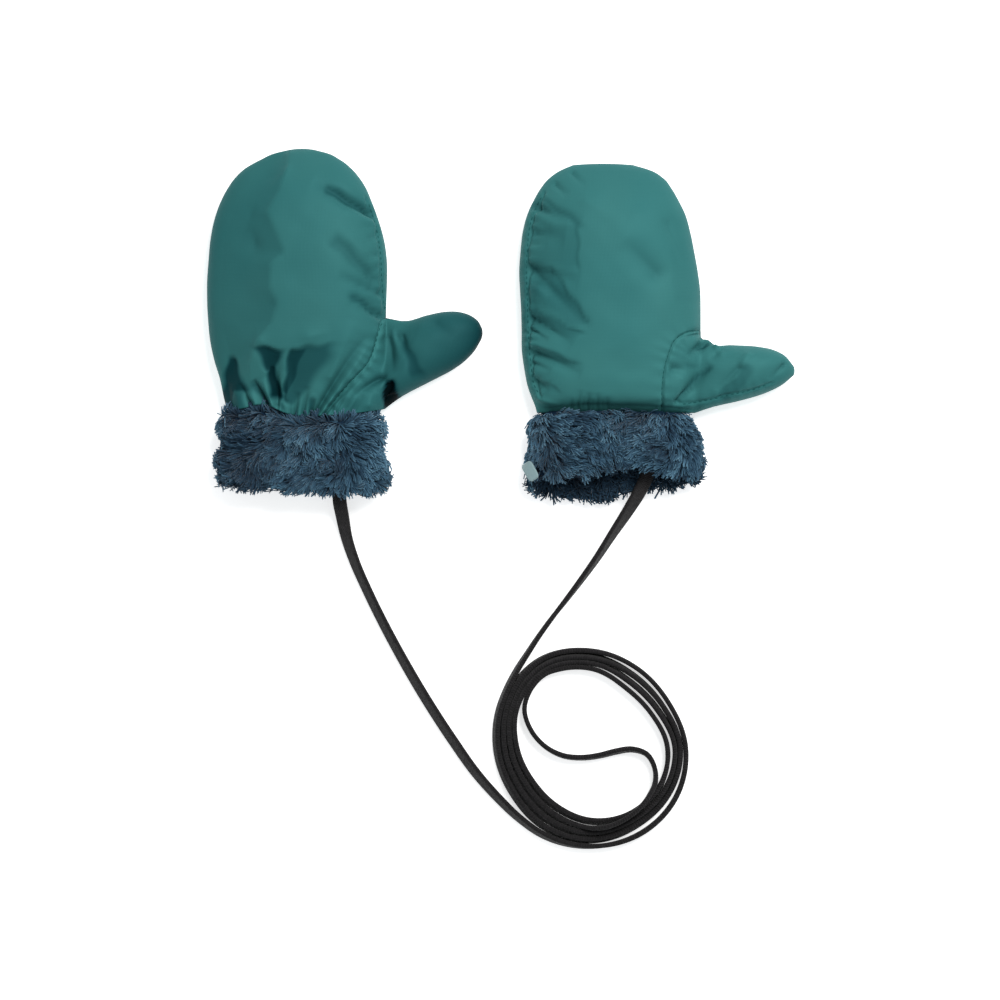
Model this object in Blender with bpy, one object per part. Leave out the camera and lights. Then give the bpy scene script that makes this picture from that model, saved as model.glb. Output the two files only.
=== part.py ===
"""A pair of baby mittens on one string, laid flat with the fingers up and both thumbs to the right.

The left mitten shows its gathered back, and the right one its palm. Each is sewn from a back,
a palm, two thumb pieces and a pile cuff. The string is flat webbing, sewn inside both cuffs.
Sizes are in millimetres, from each mitten's own origin: the middle of its wrist seam, on the
surface that it lies on. +X runs to the thumb, +Y to the fingertips and +Z up.
"""
import math
from collections import namedtuple

import bpy
import numpy as np

MM = 0.001
SEAM_GAP = 0.3           # between neighbouring pieces at every seam
SHELL_WALL = 3.0         # padded taffeta
CUFF_WALL = 7.0          # folded pile fabric, out to the tips of the pile
SEAM_HEIGHT = 9.0        # of the side seam round hand and thumb
CUFF_SEAM_HEIGHT = 11.0  # of the cuff's sides, where it is folded flat
LABEL_THICKNESS = 0.8
STRING_DIAMETER = 4.2    # a round tube of the flat webbing's section area
STRING_CLEARANCE = 0.3
STRING_STEP = 2.1        # diameters between the points of a tube
COIL_HEIGHT = 6.4        # the webbing's width, because it is wound on its edge
COIL_EDGE = 0.8          # the drop from the coil's top to its sides
COIL_EDGE_SHARE = 0.08   # the part of the coil's width that this drop takes
WRIST_BAND = 30.0        # how far up the hand the sag of the wrist seam fades out
HALF_WRIST = 37.0
DOME_POWER = 2.4         # how square the padded cross-sections are
SOLE_ROUND = 0.5         # how much of a section's fill the underside takes to roll down from the seam
TIP_LENGTH = 42.0        # of the hand's end that rounds down to the seam
SEAM_FREE = 20.0         # below the crotch, where the side seam turns in under the thumb
SEAM_EASE = 5.0          # the height over which folds die out towards the side seam
FOLD_FADE = 0.7          # how evenly a fold loses its depth along its length: 1 is in a straight line
THUMB_TIP = 0.6          # the part of the thumb's length after which it rounds down
THUMB_FAN = 0.4          # the part of its length over which its sections turn from the seam to straight
CUFF_POWER = 2.6         # how square the cuff's upper wall is
CUFF_SOLE_ROUND = 0.45
LABEL_LIFT = 0.45        # from the cuff to the label
SHARP_ANGLE = math.radians(50)
ON_SEAM = 1e-6           # points this close to a seam or to the wrist are on it

LEFT_PLACE = (-89.4, -38.2)
RIGHT_PLACE = (53.0, -39.6)
COIL_PLACE = (42.1, -194.1)

HandRow = namedtuple("HandRow", "y left right crown")
ThumbRow = namedtuple("ThumbRow", "along rise")
CuffRow = namedtuple("CuffRow", "along left right top")
Fold = namedtuple("Fold", "deep_x deep_y far_x far_y deep_width far_width depth")
CoilRow = namedtuple("CoilRow", "degrees inner outer")
CuffStation = namedtuple("CuffStation", "inset along")
PanelGrid = namedtuple("PanelGrid", "along_seam above_seam")

LEFT_HAND = [
    HandRow(0.0, -36.6, 36.3, 21.0),
    HandRow(4.6, -37.7, 36.4, 21.6),
    HandRow(13.8, -39.6, 36.6, 23.5),
    HandRow(23.0, -42.3, 36.8, 26.0),
    HandRow(32.2, -44.2, 36.8, 27.6),
    HandRow(42.3, -45.1, 36.8, 28.4),
    HandRow(51.0, -45.5, 37.0, 28.6),
    HandRow(60.0, -45.5, 37.3, 28.5),
    HandRow(69.0, -44.8, 37.2, 28.3),
    HandRow(78.2, -44.0, 35.9, 27.8),
    HandRow(87.4, -42.2, 33.3, 27.0),
    HandRow(96.6, -38.9, 29.9, 26.0),
    HandRow(102.0, -36.0, 27.6, 25.4),
    HandRow(107.0, -32.4, 24.4, 24.6),
    HandRow(111.5, -27.4, 20.4, 23.6),
    HandRow(115.3, -20.6, 15.4, 22.6),
    HandRow(118.2, -14.0, 9.6, 21.6),
    HandRow(119.6, -8.0, 4.2, 21.0),
]
RIGHT_HAND = [
    HandRow(0.0, -36.2, 36.5, 19.5),
    HandRow(3.0, -37.0, 36.8, 22.0),
    HandRow(6.5, -38.4, 37.2, 24.0),
    HandRow(12.0, -40.4, 37.8, 25.8),
    HandRow(20.0, -42.0, 38.5, 27.0),
    HandRow(29.0, -43.2, 39.0, 27.9),
    HandRow(37.7, -43.3, 39.1, 28.3),
    HandRow(47.0, -43.5, 39.1, 28.5),
    HandRow(56.0, -44.0, 38.9, 28.5),
    HandRow(65.0, -44.4, 37.8, 28.3),
    HandRow(74.0, -43.8, 36.2, 27.9),
    HandRow(83.0, -42.8, 34.4, 27.2),
    HandRow(91.5, -40.6, 32.0, 26.2),
    HandRow(98.0, -37.6, 28.8, 25.2),
    HandRow(103.5, -34.4, 25.6, 24.2),
    HandRow(108.0, -30.6, 22.0, 23.2),
    HandRow(111.8, -25.0, 15.6, 22.2),
    HandRow(114.1, -19.6, 8.0, 21.4),
]

# Seams between hand and thumb, from the wrist up to the crotch.
LEFT_BACK_SEAM = [(8.5, 0.0), (20.4, 12.5), (29.9, 22.6), (32.9, 31.0), (34.8, 38.0), (36.8, 42.3)]
LEFT_PALM_SEAM = [(21.2, 0.0), (21.4, 12.0), (23.2, 24.0), (27.2, 33.6), (31.6, 38.8), (36.8, 42.3)]
RIGHT_PALM_SEAM = [(21.4, 0.0), (21.2, 12.0), (23.4, 24.4), (27.6, 33.4), (32.4, 36.4), (39.1, 37.7)]
RIGHT_BACK_SEAM = [(10.0, 0.0), (21.4, 12.0), (30.6, 20.6), (34.6, 28.0), (37.0, 33.6), (39.1, 37.7)]

# The thumb's edges: the lower one from where it leaves the wrist, the upper one from the crotch.
LEFT_THUMB_LOWER = [(36.3, 0.0), (44.6, 6.0), (52.4, 10.2), (60.1, 14.2), (66.6, 17.7), (73.1, 22.4),
                    (77.4, 27.0), (80.6, 32.4)]
LEFT_THUMB_UPPER = [(36.8, 42.3), (46.0, 41.0), (55.7, 43.6), (64.0, 45.2), (71.0, 45.0), (75.8, 43.4),
                    (79.2, 40.8), (81.0, 37.4)]
RIGHT_THUMB_LOWER = [(36.5, 0.0), (44.2, 2.6), (57.5, 5.7), (69.5, 9.4), (76.8, 13.1), (82.0, 17.4)]
RIGHT_THUMB_UPPER = [(39.1, 37.7), (43.4, 32.4), (53.4, 31.3), (66.5, 30.4), (72.2, 29.2), (77.8, 26.4),
                     (82.0, 21.4)]

THUMB_ROWS = [
    ThumbRow(0.0, 0.0),
    ThumbRow(0.14, 5.0),
    ThumbRow(0.3, 9.5),
    ThumbRow(0.48, 11.2),
    ThumbRow(0.66, 10.8),
    ThumbRow(0.82, 9.6),
    ThumbRow(1.0, 8.0),
]
# Rows of points along and above the thumb's seam, and columns across each hand panel.
UPPER_GRID = PanelGrid(13, 14)
LOWER_GRID = PanelGrid(9, 10)
GATHERED_COLUMNS = 37
SMOOTH_COLUMNS = 29
UNDER_COLUMNS = 15
THUMB_STATIONS = (0.0, 0.08, 0.17, 0.27, 0.38, 0.5, 0.62, 0.73, 0.83, 0.91, 0.97, 1.0)

LEFT_CUFF = [
    CuffRow(0.0, -40.6, 38.0, 23.5),
    CuffRow(0.15, -42.0, 37.6, 25.5),
    CuffRow(0.45, -41.6, 37.8, 26.5),
    CuffRow(0.75, -43.0, 39.6, 27.0),
    CuffRow(1.0, -42.4, 39.6, 26.0),
]
RIGHT_CUFF = [
    CuffRow(0.0, -39.0, 37.0, 23.0),
    CuffRow(0.15, -42.6, 37.0, 25.5),
    CuffRow(0.4, -41.8, 41.0, 27.0),
    CuffRow(0.7, -43.0, 42.2, 27.5),
    CuffRow(1.0, -43.6, 41.0, 26.5),
]
# How far a cuff's wall stands in from its outside, round from the wrist over the mouth and back inside.
CUFF_STATIONS = [
    CuffStation(1.6, 0.0), CuffStation(0.0, 0.07), CuffStation(0.0, 0.25), CuffStation(0.0, 0.45),
    CuffStation(0.0, 0.65), CuffStation(0.0, 0.85), CuffStation(0.2, 0.95), CuffStation(2.0, 1.0),
    CuffStation(CUFF_WALL - 1.6, 1.0), CuffStation(CUFF_WALL, 0.93), CuffStation(CUFF_WALL, 0.6),
    CuffStation(CUFF_WALL, 0.3), CuffStation(CUFF_WALL, 0.06), CuffStation(CUFF_WALL - 1.0, 0.0),
]
CUFF_HALF = 18           # columns from side to side on each of a cuff's walls
# Where the label lies on the cuff, as in cuff_surface.
LABEL_ACROSS = (-0.985, -0.83)
LABEL_ALONG = (0.7, 0.97)
LABEL_POINTS = 5
COIL_SECTIONS = 48
# The mouth's edges, (x, y), of the cuff's upper and lower walls.
LEFT_LIP_UPPER = [(-44.0, -33.0), (-37.7, -36.3), (-26.0, -38.0), (-6.0, -40.0), (10.0, -39.6),
                  (28.0, -41.0), (36.0, -38.0), (41.0, -34.0)]
LEFT_LIP_LOWER = [(-44.0, -33.0), (-37.7, -35.0), (-26.0, -36.5), (-6.0, -38.0), (28.0, -38.5),
                  (41.0, -34.0)]
RIGHT_LIP_UPPER = [(-45.0, -32.5), (-30.0, -31.7), (-16.0, -30.8), (-6.0, -26.7), (2.0, -25.8),
                   (12.0, -25.8), (19.0, -27.0), (28.0, -30.6), (42.0, -30.8)]
RIGHT_LIP_LOWER = [(-45.0, -32.5), (-38.2, -36.3), (-28.5, -39.1), (-16.6, -41.7), (-7.8, -41.2),
                   (5.5, -37.2), (20.2, -34.4), (28.0, -33.2), (42.0, -31.2)]

# Folds run from their deep end to where they die out. A negative depth is a ridge.
LEFT_BACK_FOLDS = [
    Fold(-34.0, 0.0, -32.0, 23.0, 2.6, 2.2, 3.2),
    Fold(-27.6, 0.0, -27.0, 16.0, 1.7, 3.0, -1.6),
    Fold(-24.4, 0.0, -25.0, 9.0, 1.4, 1.6, 2.0),
    Fold(-20.6, 0.0, -19.4, 12.0, 1.6, 2.4, -1.6),
    Fold(-14.6, 0.0, -19.0, 28.0, 2.6, 5.4, 3.4),
    Fold(-9.0, 0.0, 6.0, 27.5, 1.8, 4.4, 3.0),
    Fold(-4.6, 0.0, -3.6, 14.0, 1.6, 3.0, -1.4),
    Fold(-0.6, 0.0, 0.4, 8.0, 1.3, 1.8, 1.6),
    Fold(4.1, 0.0, 27.6, 35.4, 1.7, 3.4, 2.8),
    Fold(12.0, 0.0, 17.0, 8.0, 1.2, 1.6, 1.4),
    Fold(16.6, 0.0, 21.0, 7.0, 1.2, 1.6, 1.4),
    Fold(21.4, 0.0, 25.0, 8.5, 1.3, 1.8, 1.5),
    Fold(29.0, 0.0, 25.0, 7.0, 1.6, 2.0, 1.6),
    Fold(38.6, 2.0, 37.0, 15.0, 3.2, 3.0, 4.0),
    Fold(32.0, 86.0, 4.0, 104.0, 2.2, 4.2, 2.6),
    Fold(32.5, 60.0, 14.0, 80.0, 2.8, 4.6, 1.3),
    Fold(34.8, 42.6, 20.0, 53.0, 1.8, 3.4, 2.4),
    Fold(27.0, 52.0, 13.6, 61.6, 1.6, 2.6, 0.9),
    Fold(-23.0, 75.0, -26.0, 84.0, 4.0, 4.0, 0.9),
    Fold(37.9, 33.0, 40.4, 16.0, 1.6, 2.4, 1.6),
    Fold(42.6, 33.4, 50.6, 18.0, 1.8, 3.4, 2.0),
]
RIGHT_PALM_FOLDS = [
    Fold(-38.6, 95.0, -16.6, 86.0, 1.6, 4.2, 1.8),
    Fold(-38.0, 82.0, -24.0, 80.0, 2.2, 5.0, 1.6),
    Fold(-40.0, 66.0, -17.0, 60.0, 1.8, 4.0, 1.8),
    Fold(-39.0, 64.0, -13.0, 39.0, 2.0, 3.4, 1.4),
    Fold(-39.6, 43.0, -20.0, 31.0, 1.5, 3.4, 1.9),
    Fold(-38.0, 27.0, -16.0, 17.5, 1.5, 3.2, 1.8),
    Fold(-37.0, 13.8, -31.0, 10.0, 1.6, 2.6, 1.4),
    Fold(18.0, 63.0, 3.0, 78.0, 4.0, 5.0, 0.9),
    Fold(-18.0, 0.0, -17.4, 6.5, 1.2, 1.6, 1.5),
    Fold(-13.4, 0.0, -13.0, 7.0, 1.2, 1.6, 1.5),
    Fold(-8.8, 0.0, -8.4, 6.5, 1.2, 1.6, 1.5),
    Fold(-4.0, 0.0, -3.8, 7.0, 1.3, 1.8, 1.4),
    Fold(44.0, 31.4, 34.6, 27.0, 1.6, 2.4, 2.0),
    Fold(43.0, 20.6, 28.0, 4.6, 1.7, 2.6, 1.8),
    Fold(56.0, 20.4, 46.0, 9.6, 1.8, 3.0, 1.4),
    Fold(26.0, 19.6, 31.6, 19.8, 2.0, 2.6, 1.1),
]
NO_FOLDS = []

COIL_ROWS = [
    CoilRow(0, 33.5, 44.2), CoilRow(30, 30.5, 42.2), CoilRow(60, 30.8, 43.6), CoilRow(90, 35.3, 46.1),
    CoilRow(120, 39.2, 48.3), CoilRow(150, 38.6, 48.0), CoilRow(180, 34.0, 44.9), CoilRow(210, 30.7, 42.6),
    CoilRow(240, 30.7, 43.6), CoilRow(270, 32.7, 46.4), CoilRow(300, 33.2, 46.6), CoilRow(330, 32.6, 46.0),
]

# Routes of the string, (x, y, z) from the pair's own origin or, for the middle, from the coil's middle.
LEFT_STRING_ROUTE = [
    (-72.0, -62.0, 9.5), (-73.0, -72.0, 9.6), (-73.4, -79.4, 9.2), (-72.5, -87.4, 5.0), (-70.2, -96.0, 2.4),
    (-66.0, -107.2, 2.4), (-60.0, -121.0, 2.4), (-53.1, -134.8, 2.4), (-46.2, -148.6, 2.4),
    (-38.0, -162.4, 2.4), (-29.2, -176.2, 2.4), (-18.8, -191.6, 2.4), (-9.6, -207.4, 2.6),
    (-0.4, -218.6, 3.0), (8.6, -226.6, 3.2), (14.2, -230.4, 3.3),
]
RIGHT_STRING_ROUTE = [
    (70.0, -56.0, 9.6), (66.5, -65.8, 9.8), (62.4, -75.0, 9.9), (58.6, -83.0, 6.6), (52.0, -95.6, 2.5),
    (45.8, -106.3, 2.4), (38.9, -117.0, 2.4), (32.0, -125.8, 2.4), (24.2, -134.8, 2.4), (18.6, -142.0, 2.8),
    (12.4, -150.8, 3.2), (9.0, -155.4, 3.3),
]
MIDDLE_STRING_ROUTE = [
    (-31.2, 17.9, 3.4), (-27.6, 7.6, 3.2), (-20.7, 0.2, 2.8), (-13.1, -3.5, 2.5), (-4.6, -4.4, 2.4),
    (3.7, -3.4, 2.4), (11.0, -1.6, 2.5), (18.9, -0.8, 2.8), (24.8, -2.4, 3.2), (29.0, -8.9, 3.4),
]


def smooth(keys, values, at):
    """Values at the places asked for, on one smooth curve through the rows of a table."""
    keys = np.asarray(keys, float)
    values = np.asarray(values, float)
    slopes = np.gradient(values, keys)
    at = np.clip(at, keys[0], keys[-1])
    i = np.clip(np.searchsorted(keys, at) - 1, 0, len(keys) - 2)
    span = keys[i + 1] - keys[i]
    t = (at - keys[i]) / span
    start = (1 + 2 * t) * (1 - t) ** 2 * values[i] + t * (1 - t) ** 2 * span * slopes[i]
    end = t * t * (3 - 2 * t) * values[i + 1] + t * t * (t - 1) * span * slopes[i + 1]
    return start + end


def along_path(points, fractions):
    """Places at these fractions of a path's length, on one smooth curve through its points."""
    points = np.asarray(points, float)
    steps = np.linalg.norm(np.diff(points, axis=0), axis=1)
    reach = np.concatenate([[0], np.cumsum(steps)]) / steps.sum()
    return np.stack([smooth(reach, column, fractions) for column in points.T], axis=-1)


def step_between(low, high, value):
    """0 below low, 1 above high and a soft step between them."""
    t = np.clip((value - low) / (high - low), 0, 1)
    return t * t * (3 - 2 * t)


def hand_fill(rows, x, y):
    """How full the hand is at (x, y): the rise of its crown, and 1 in the middle to 0 at its edges."""
    keys = [row.y for row in rows]
    left = smooth(keys, [row.left for row in rows], y)
    right = smooth(keys, [row.right for row in rows], y)
    crown = smooth(keys, [row.crown for row in rows], y)
    across = (2 * x - left - right) / (right - left)
    tip = np.clip((y - rows[-1].y) / TIP_LENGTH + 1, 0, 1)
    return crown - SEAM_HEIGHT, swell_of(across) * swell_of(tip)


def swell_of(offset):
    """The square of a padded section's height at an offset from its middle: 1 there, 0 at its edge."""
    return np.clip(1 - np.abs(offset) ** DOME_POWER, 0, 1)


def joined(first, second):
    """Two swellings run into one, with no crease where either of them ends."""
    return (first**3 + second**3) ** (1 / 3)


def rounded(fill):
    """A quarter round: 0 at no fill, and level from full on."""
    fill = np.clip(fill, 0, 1)
    return np.sqrt(fill * (2 - fill))


def upper_height(rows, x, y, thumb_rise, thumb_fill):
    rise, fill = hand_fill(rows, x, y)
    swell = joined(rise * np.sqrt(fill), thumb_rise * np.sqrt(thumb_fill))
    return SEAM_HEIGHT + SEAM_GAP / 2 + swell


def lower_height(rows, x, y, thumb_rise, thumb_fill):
    _, fill = hand_fill(rows, x, y)
    depth = joined(rounded(fill / SOLE_ROUND), rounded(thumb_fill) * rounded(thumb_rise / SEAM_HEIGHT))
    return (SEAM_HEIGHT - SEAM_GAP / 2) * (1 - np.minimum(depth, 1))


def fold_depth(folds, x, y):
    """How far the cloth sinks at (x, y) below its smooth form, all folds taken together."""
    total = np.zeros_like(x)
    for fold in folds:
        run = np.array([fold.far_x - fold.deep_x, fold.far_y - fold.deep_y])
        length = math.hypot(*run)
        t = ((x - fold.deep_x) * run[0] + (y - fold.deep_y) * run[1]) / length**2
        t = np.clip(t, 0, 1)
        side = np.hypot(x - fold.deep_x - t * run[0], y - fold.deep_y - t * run[1])
        width = fold.deep_width + (fold.far_width - fold.deep_width) * t
        fade = (1 - t) ** FOLD_FADE
        total += fold.depth * fade * np.exp(-((side / width) ** 2))
    return total


def ring_faces(rings, size, flip):
    """Faces of a closed band: each ring of points is joined to the next, and the last one to the first."""
    faces = []
    for i in range(rings):
        after = (i + 1) % rings
        for j in range(size):
            k = (j + 1) % size
            face = (i * size + j, i * size + k, after * size + k, after * size + j)
            faces.append(face[::-1] if flip else face)
    return faces


def object_from(name, points, faces, material, place):
    """A mesh object at its mitten's place, from points in millimetres."""
    mesh = bpy.data.meshes.new(name)
    mesh.from_pydata([tuple(p) for p in np.asarray(points) * MM], [], faces)
    mesh.validate()
    mesh.shade_smooth()
    mesh.set_sharp_from_angle(angle=SHARP_ANGLE)
    mesh.materials.append(material)
    piece = bpy.data.objects.new(name, mesh)
    piece.location = (place[0] * MM, place[1] * MM, 0)
    bpy.context.scene.collection.objects.link(piece)
    return piece


def grid_faces(rows, columns, first, flip):
    faces = []
    for i in range(rows - 1):
        for j in range(columns - 1):
            a = first + i * columns + j
            face = (a, a + 1, a + columns + 1, a + columns)
            faces.append(face[::-1] if flip else face)
    return faces


def rim_faces(rows, columns, flip, crossed):
    """The strip that closes a wall's edge, between its outer points and, after them, its inner ones.

    Walls that meet at a seam run round it in opposite senses. One of them takes the crossed
    diagonal, so that both strips bend along the same lines.
    """
    loop = [(0, j) for j in range(columns - 1)] + [(i, columns - 1) for i in range(rows - 1)]
    loop += [(rows - 1, j) for j in range(columns - 1, 0, -1)] + [(i, 0) for i in range(rows - 1, 0, -1)]
    inner = rows * columns
    faces = []
    for k, (i, j) in enumerate(loop):
        next_i, next_j = loop[(k + 1) % len(loop)]
        a = i * columns + j
        b = next_i * columns + next_j
        if crossed:
            halves = [(a, a + inner, b), (a + inner, b + inner, b)]
        else:
            halves = [(a, a + inner, b + inner), (a, b + inner, b)]
        faces += [half[::-1] if flip else half for half in halves]
    return faces


def outward(grid, seam_z, up):
    """Unit normals of a panel's outer points. At the side seam they lie level."""
    along = np.gradient(grid, axis=0)
    across = np.gradient(grid, axis=1)
    fall = np.array([0.0, 0.0, -1.0 if up else 1.0])
    on_seam = np.abs(grid[:, :, 2] - seam_z) < ON_SEAM
    along[-1] = fall
    on_seam[-1] = False
    across[:, 0][on_seam[:, 0]] = -fall
    across[:, -1][on_seam[:, -1]] = fall
    normal = np.cross(across, along) if up else np.cross(along, across)
    at_wrist = grid[:, :, 1] < ON_SEAM
    normal[at_wrist, 1] = 0
    return normal / np.linalg.norm(normal, axis=2, keepdims=True)


def wrist_sag(x, sag):
    """The wrist seam hangs lower in its middle than at the sides."""
    middle, side = sag
    return middle + (side - middle) * np.minimum(np.abs(x) / HALF_WRIST, 1) ** 2


def panel(name, grid, seam_z, up, on_form, tilt, crossed, folds, sag, material, place):
    """One piece of padded shell: a wall of one thickness under the outer points, folds and all."""
    rows, columns = grid.shape[:2]
    normal = np.where(on_form[:, :, None], tilt, outward(grid, seam_z, up))
    lift = np.clip(np.abs(grid[:, :, 2] - seam_z) / SEAM_EASE, 0, 1)
    sink = fold_depth(folds, grid[:, :, 0], grid[:, :, 1]) * lift
    outer = grid - normal * sink[:, :, None]
    inner = grid - normal * (sink[:, :, None] + SHELL_WALL)
    off_seam = np.abs(grid[:, :, 2] - seam_z) > ON_SEAM
    clear = seam_z + (SEAM_GAP if up else -SEAM_GAP)
    nearest = np.maximum(inner[:, :, 2], clear) if up else np.minimum(inner[:, :, 2], clear)
    inner[:, :, 2] = np.where(off_seam, nearest, inner[:, :, 2])
    points = np.concatenate([outer.reshape(-1, 3), inner.reshape(-1, 3)])
    points[:, 1] += wrist_sag(points[:, 0], sag) * np.clip(1 - points[:, 1] / WRIST_BAND, 0, 1)
    count = rows * columns
    faces = grid_faces(rows, columns, 0, not up) + grid_faces(rows, columns, count, up)
    faces += rim_faces(rows, columns, not up, crossed)
    return object_from(name, points, faces, material, place)


def seam_points(seam, count):
    """(points along the seam, their fractions of its length, its level normal on the thumb's side)."""
    fractions = np.linspace(0, 1, count)
    points = along_path(seam, fractions)
    run = np.gradient(points, axis=0)
    normal = np.stack([run[:, 1], -run[:, 0]], axis=1)
    return points, fractions, normal / np.linalg.norm(normal, axis=1, keepdims=True)


def hand_tilt(rows, x, y, height, up):
    """Unit normals of the hand's form at these places, which both walls share along the thumb's seam."""
    reach = 0.02
    none = np.zeros_like(x)
    east = height(rows, x + reach, y, none, none) - height(rows, x - reach, y, none, none)
    north = height(rows, x, y + reach, none, none) - height(rows, x, y - reach, none, none)
    north[y < ON_SEAM] = 0
    normal = np.stack([-east, -north, np.full_like(x, 2 * reach)], axis=-1)
    normal /= np.linalg.norm(normal, axis=-1, keepdims=True)
    return normal if up else -normal


def hand_grid(rows, seam, seam_count, rows_above, columns, height):
    """A hand panel's outer points, in rows from the wrist to the fingertip."""
    points, _, normal = seam_points(seam, seam_count)
    edge = points - normal * SEAM_GAP / 2
    edge[0, 1] = 0
    top = rows[-1].y
    crotch = points[-1][1]
    swing = np.sin(np.linspace(0, math.pi / 2, rows_above + 1)[1:])
    above = crotch + (top - crotch) * swing
    keys = [row.y for row in rows]
    outline = np.stack([smooth(keys, [row.right for row in rows], above), above], axis=1)
    right = np.concatenate([edge, outline])
    left = np.stack([smooth(keys, [row.left for row in rows], right[:, 1]), right[:, 1]], axis=1)
    both_ends = (1 - np.cos(np.linspace(0, math.pi, columns))) / 2
    one_end = 1 - np.cos(np.linspace(0, math.pi / 2, columns))
    open_edge = step_between(crotch - SEAM_FREE, crotch, right[:, 1])[:, None]
    share = (one_end * (1 - open_edge) + both_ends * open_edge)[:, :, None]
    flat = left[:, None] * (1 - share) + right[:, None] * share
    none = np.zeros(flat.shape[:2])
    z = height(rows, flat[:, :, 0], flat[:, :, 1], none, none)
    on_outline = np.zeros(flat.shape[:2], bool)
    on_outline[:, 0] = True
    on_outline[seam_count - 1:, -1] = True
    on_outline[-1] = True
    z[on_outline] = height(rows, np.full(1, left[-1, 0]), np.full(1, top), np.zeros(1), np.zeros(1))[0]
    return np.concatenate([flat, z[:, :, None]], axis=2)


def thumb_grid(rows, seam, lower, upper, columns, height):
    """A thumb piece's outer points, in rows from its seam on the hand to its tip."""
    points, share, normal = seam_points(seam, columns)
    start = points + normal * SEAM_GAP / 2
    start[0, 1] = 0
    u = np.array(THUMB_STATIONS)
    wrist = np.linalg.norm(np.subtract(lower[0], start[0]))
    reach = wrist + np.linalg.norm(np.diff(lower, axis=0), axis=1).sum()
    corner = wrist / reach
    below = along_path(lower, np.clip((u - corner) / (1 - corner), 0, 1))
    at_wrist = u < corner
    below[at_wrist] = start[0] + (np.array(lower[0]) - start[0]) * (u[at_wrist] / corner)[:, None]
    beyond = along_path(upper, u)
    round_share = (1 - np.cos(math.pi * share)) / 2
    straighten = step_between(0.0, THUMB_FAN, u)[:, None]
    place = share[None] * (1 - straighten) + round_share[None] * straighten
    shifted = start[None] + (below - below[0])[:, None] * (1 - share)[None, :, None]
    shifted = shifted + (beyond - beyond[0])[:, None] * share[None, :, None]
    straight = below[:, None] * (1 - round_share)[None, :, None]
    straight = straight + beyond[:, None] * round_share[None, :, None]
    flat = shifted * (1 - straighten[:, :, None]) + straight * straighten[:, :, None]
    rise = smooth([row.along for row in THUMB_ROWS], [row.rise for row in THUMB_ROWS], u)
    rise = np.repeat(rise[:, None], columns, axis=1)
    fill = swell_of(2 * place - 1) * swell_of(np.clip((u - THUMB_TIP) / (1 - THUMB_TIP), 0, 1))[:, None]
    z = height(rows, flat[:, :, 0], flat[:, :, 1], rise, fill)
    on_outline = np.zeros(flat.shape[:2], bool)
    on_outline[:, -1] = True
    on_outline[u >= corner, 0] = True
    on_outline[-1] = True
    level = height(rows, np.zeros(1), np.full(1, rows[-1].y), np.zeros(1), np.zeros(1))[0]
    z[on_outline] = level
    return np.concatenate([flat, z[:, :, None]], axis=2)[:, ::-1]


def cuff_surface(table, lips, sag, inset, across, above, along):
    """A place on the cuff: across from -1 to 1, on its upper or lower wall, along from wrist to mouth."""
    keys = [row.along for row in table]
    left = smooth(keys, [row.left for row in table], along) + inset
    right = smooth(keys, [row.right for row in table], along) - inset
    top = smooth(keys, [row.top for row in table], along) - inset
    x = (left + right) / 2 + (right - left) / 2 * across
    if above:
        z = CUFF_SEAM_HEIGHT + (top - CUFF_SEAM_HEIGHT) * np.sqrt(max(0.0, 1 - abs(across) ** CUFF_POWER))
    else:
        roll = rounded((1 - across * across) / CUFF_SOLE_ROUND)
        z = CUFF_SEAM_HEIGHT - (CUFF_SEAM_HEIGHT - inset) * roll
    lip = lips[0] if above else lips[1]
    mouth = np.interp(x, [p[0] for p in lip], [p[1] for p in lip])
    start = wrist_sag(x, sag) - SEAM_GAP
    return np.array([x, start + (mouth - start) * along, z])


def cuff(name, table, lips, sag, material, place):
    """An open, flattened tube of pile fabric with rounded ends."""
    swing = [-math.cos(math.pi * k / CUFF_HALF) for k in range(CUFF_HALF + 1)]
    ring = [(s, True) for s in swing] + [(s, False) for s in reversed(swing[1:-1])]
    points = []
    for station in CUFF_STATIONS:
        for across, above in ring:
            points.append(cuff_surface(table, lips, sag, station.inset, across, above, station.along))
    faces = ring_faces(len(CUFF_STATIONS), len(ring), True)
    return object_from(name, points, faces, material, place)


def label(name, table, lips, sag, material, place):
    """A bare tab in the corner of the mouth, made from the cuff's own points moved out."""
    across = np.linspace(*LABEL_ACROSS, LABEL_POINTS)
    along = np.linspace(*LABEL_ALONG, LABEL_POINTS)
    grid = np.array([[cuff_surface(table, lips, sag, 0.0, s, True, f) for s in across] for f in along])
    normal = np.cross(np.gradient(grid, axis=0), np.gradient(grid, axis=1))
    normal /= np.linalg.norm(normal, axis=2, keepdims=True)
    near = grid + normal * LABEL_LIFT
    far = near + normal * LABEL_THICKNESS
    points = np.concatenate([far.reshape(-1, 3), near.reshape(-1, 3)])
    size = (LABEL_POINTS, LABEL_POINTS)
    faces = grid_faces(*size, 0, True) + grid_faces(*size, LABEL_POINTS**2, False)
    faces += rim_faces(*size, True, False)
    return object_from(name, points, faces, material, place)


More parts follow.
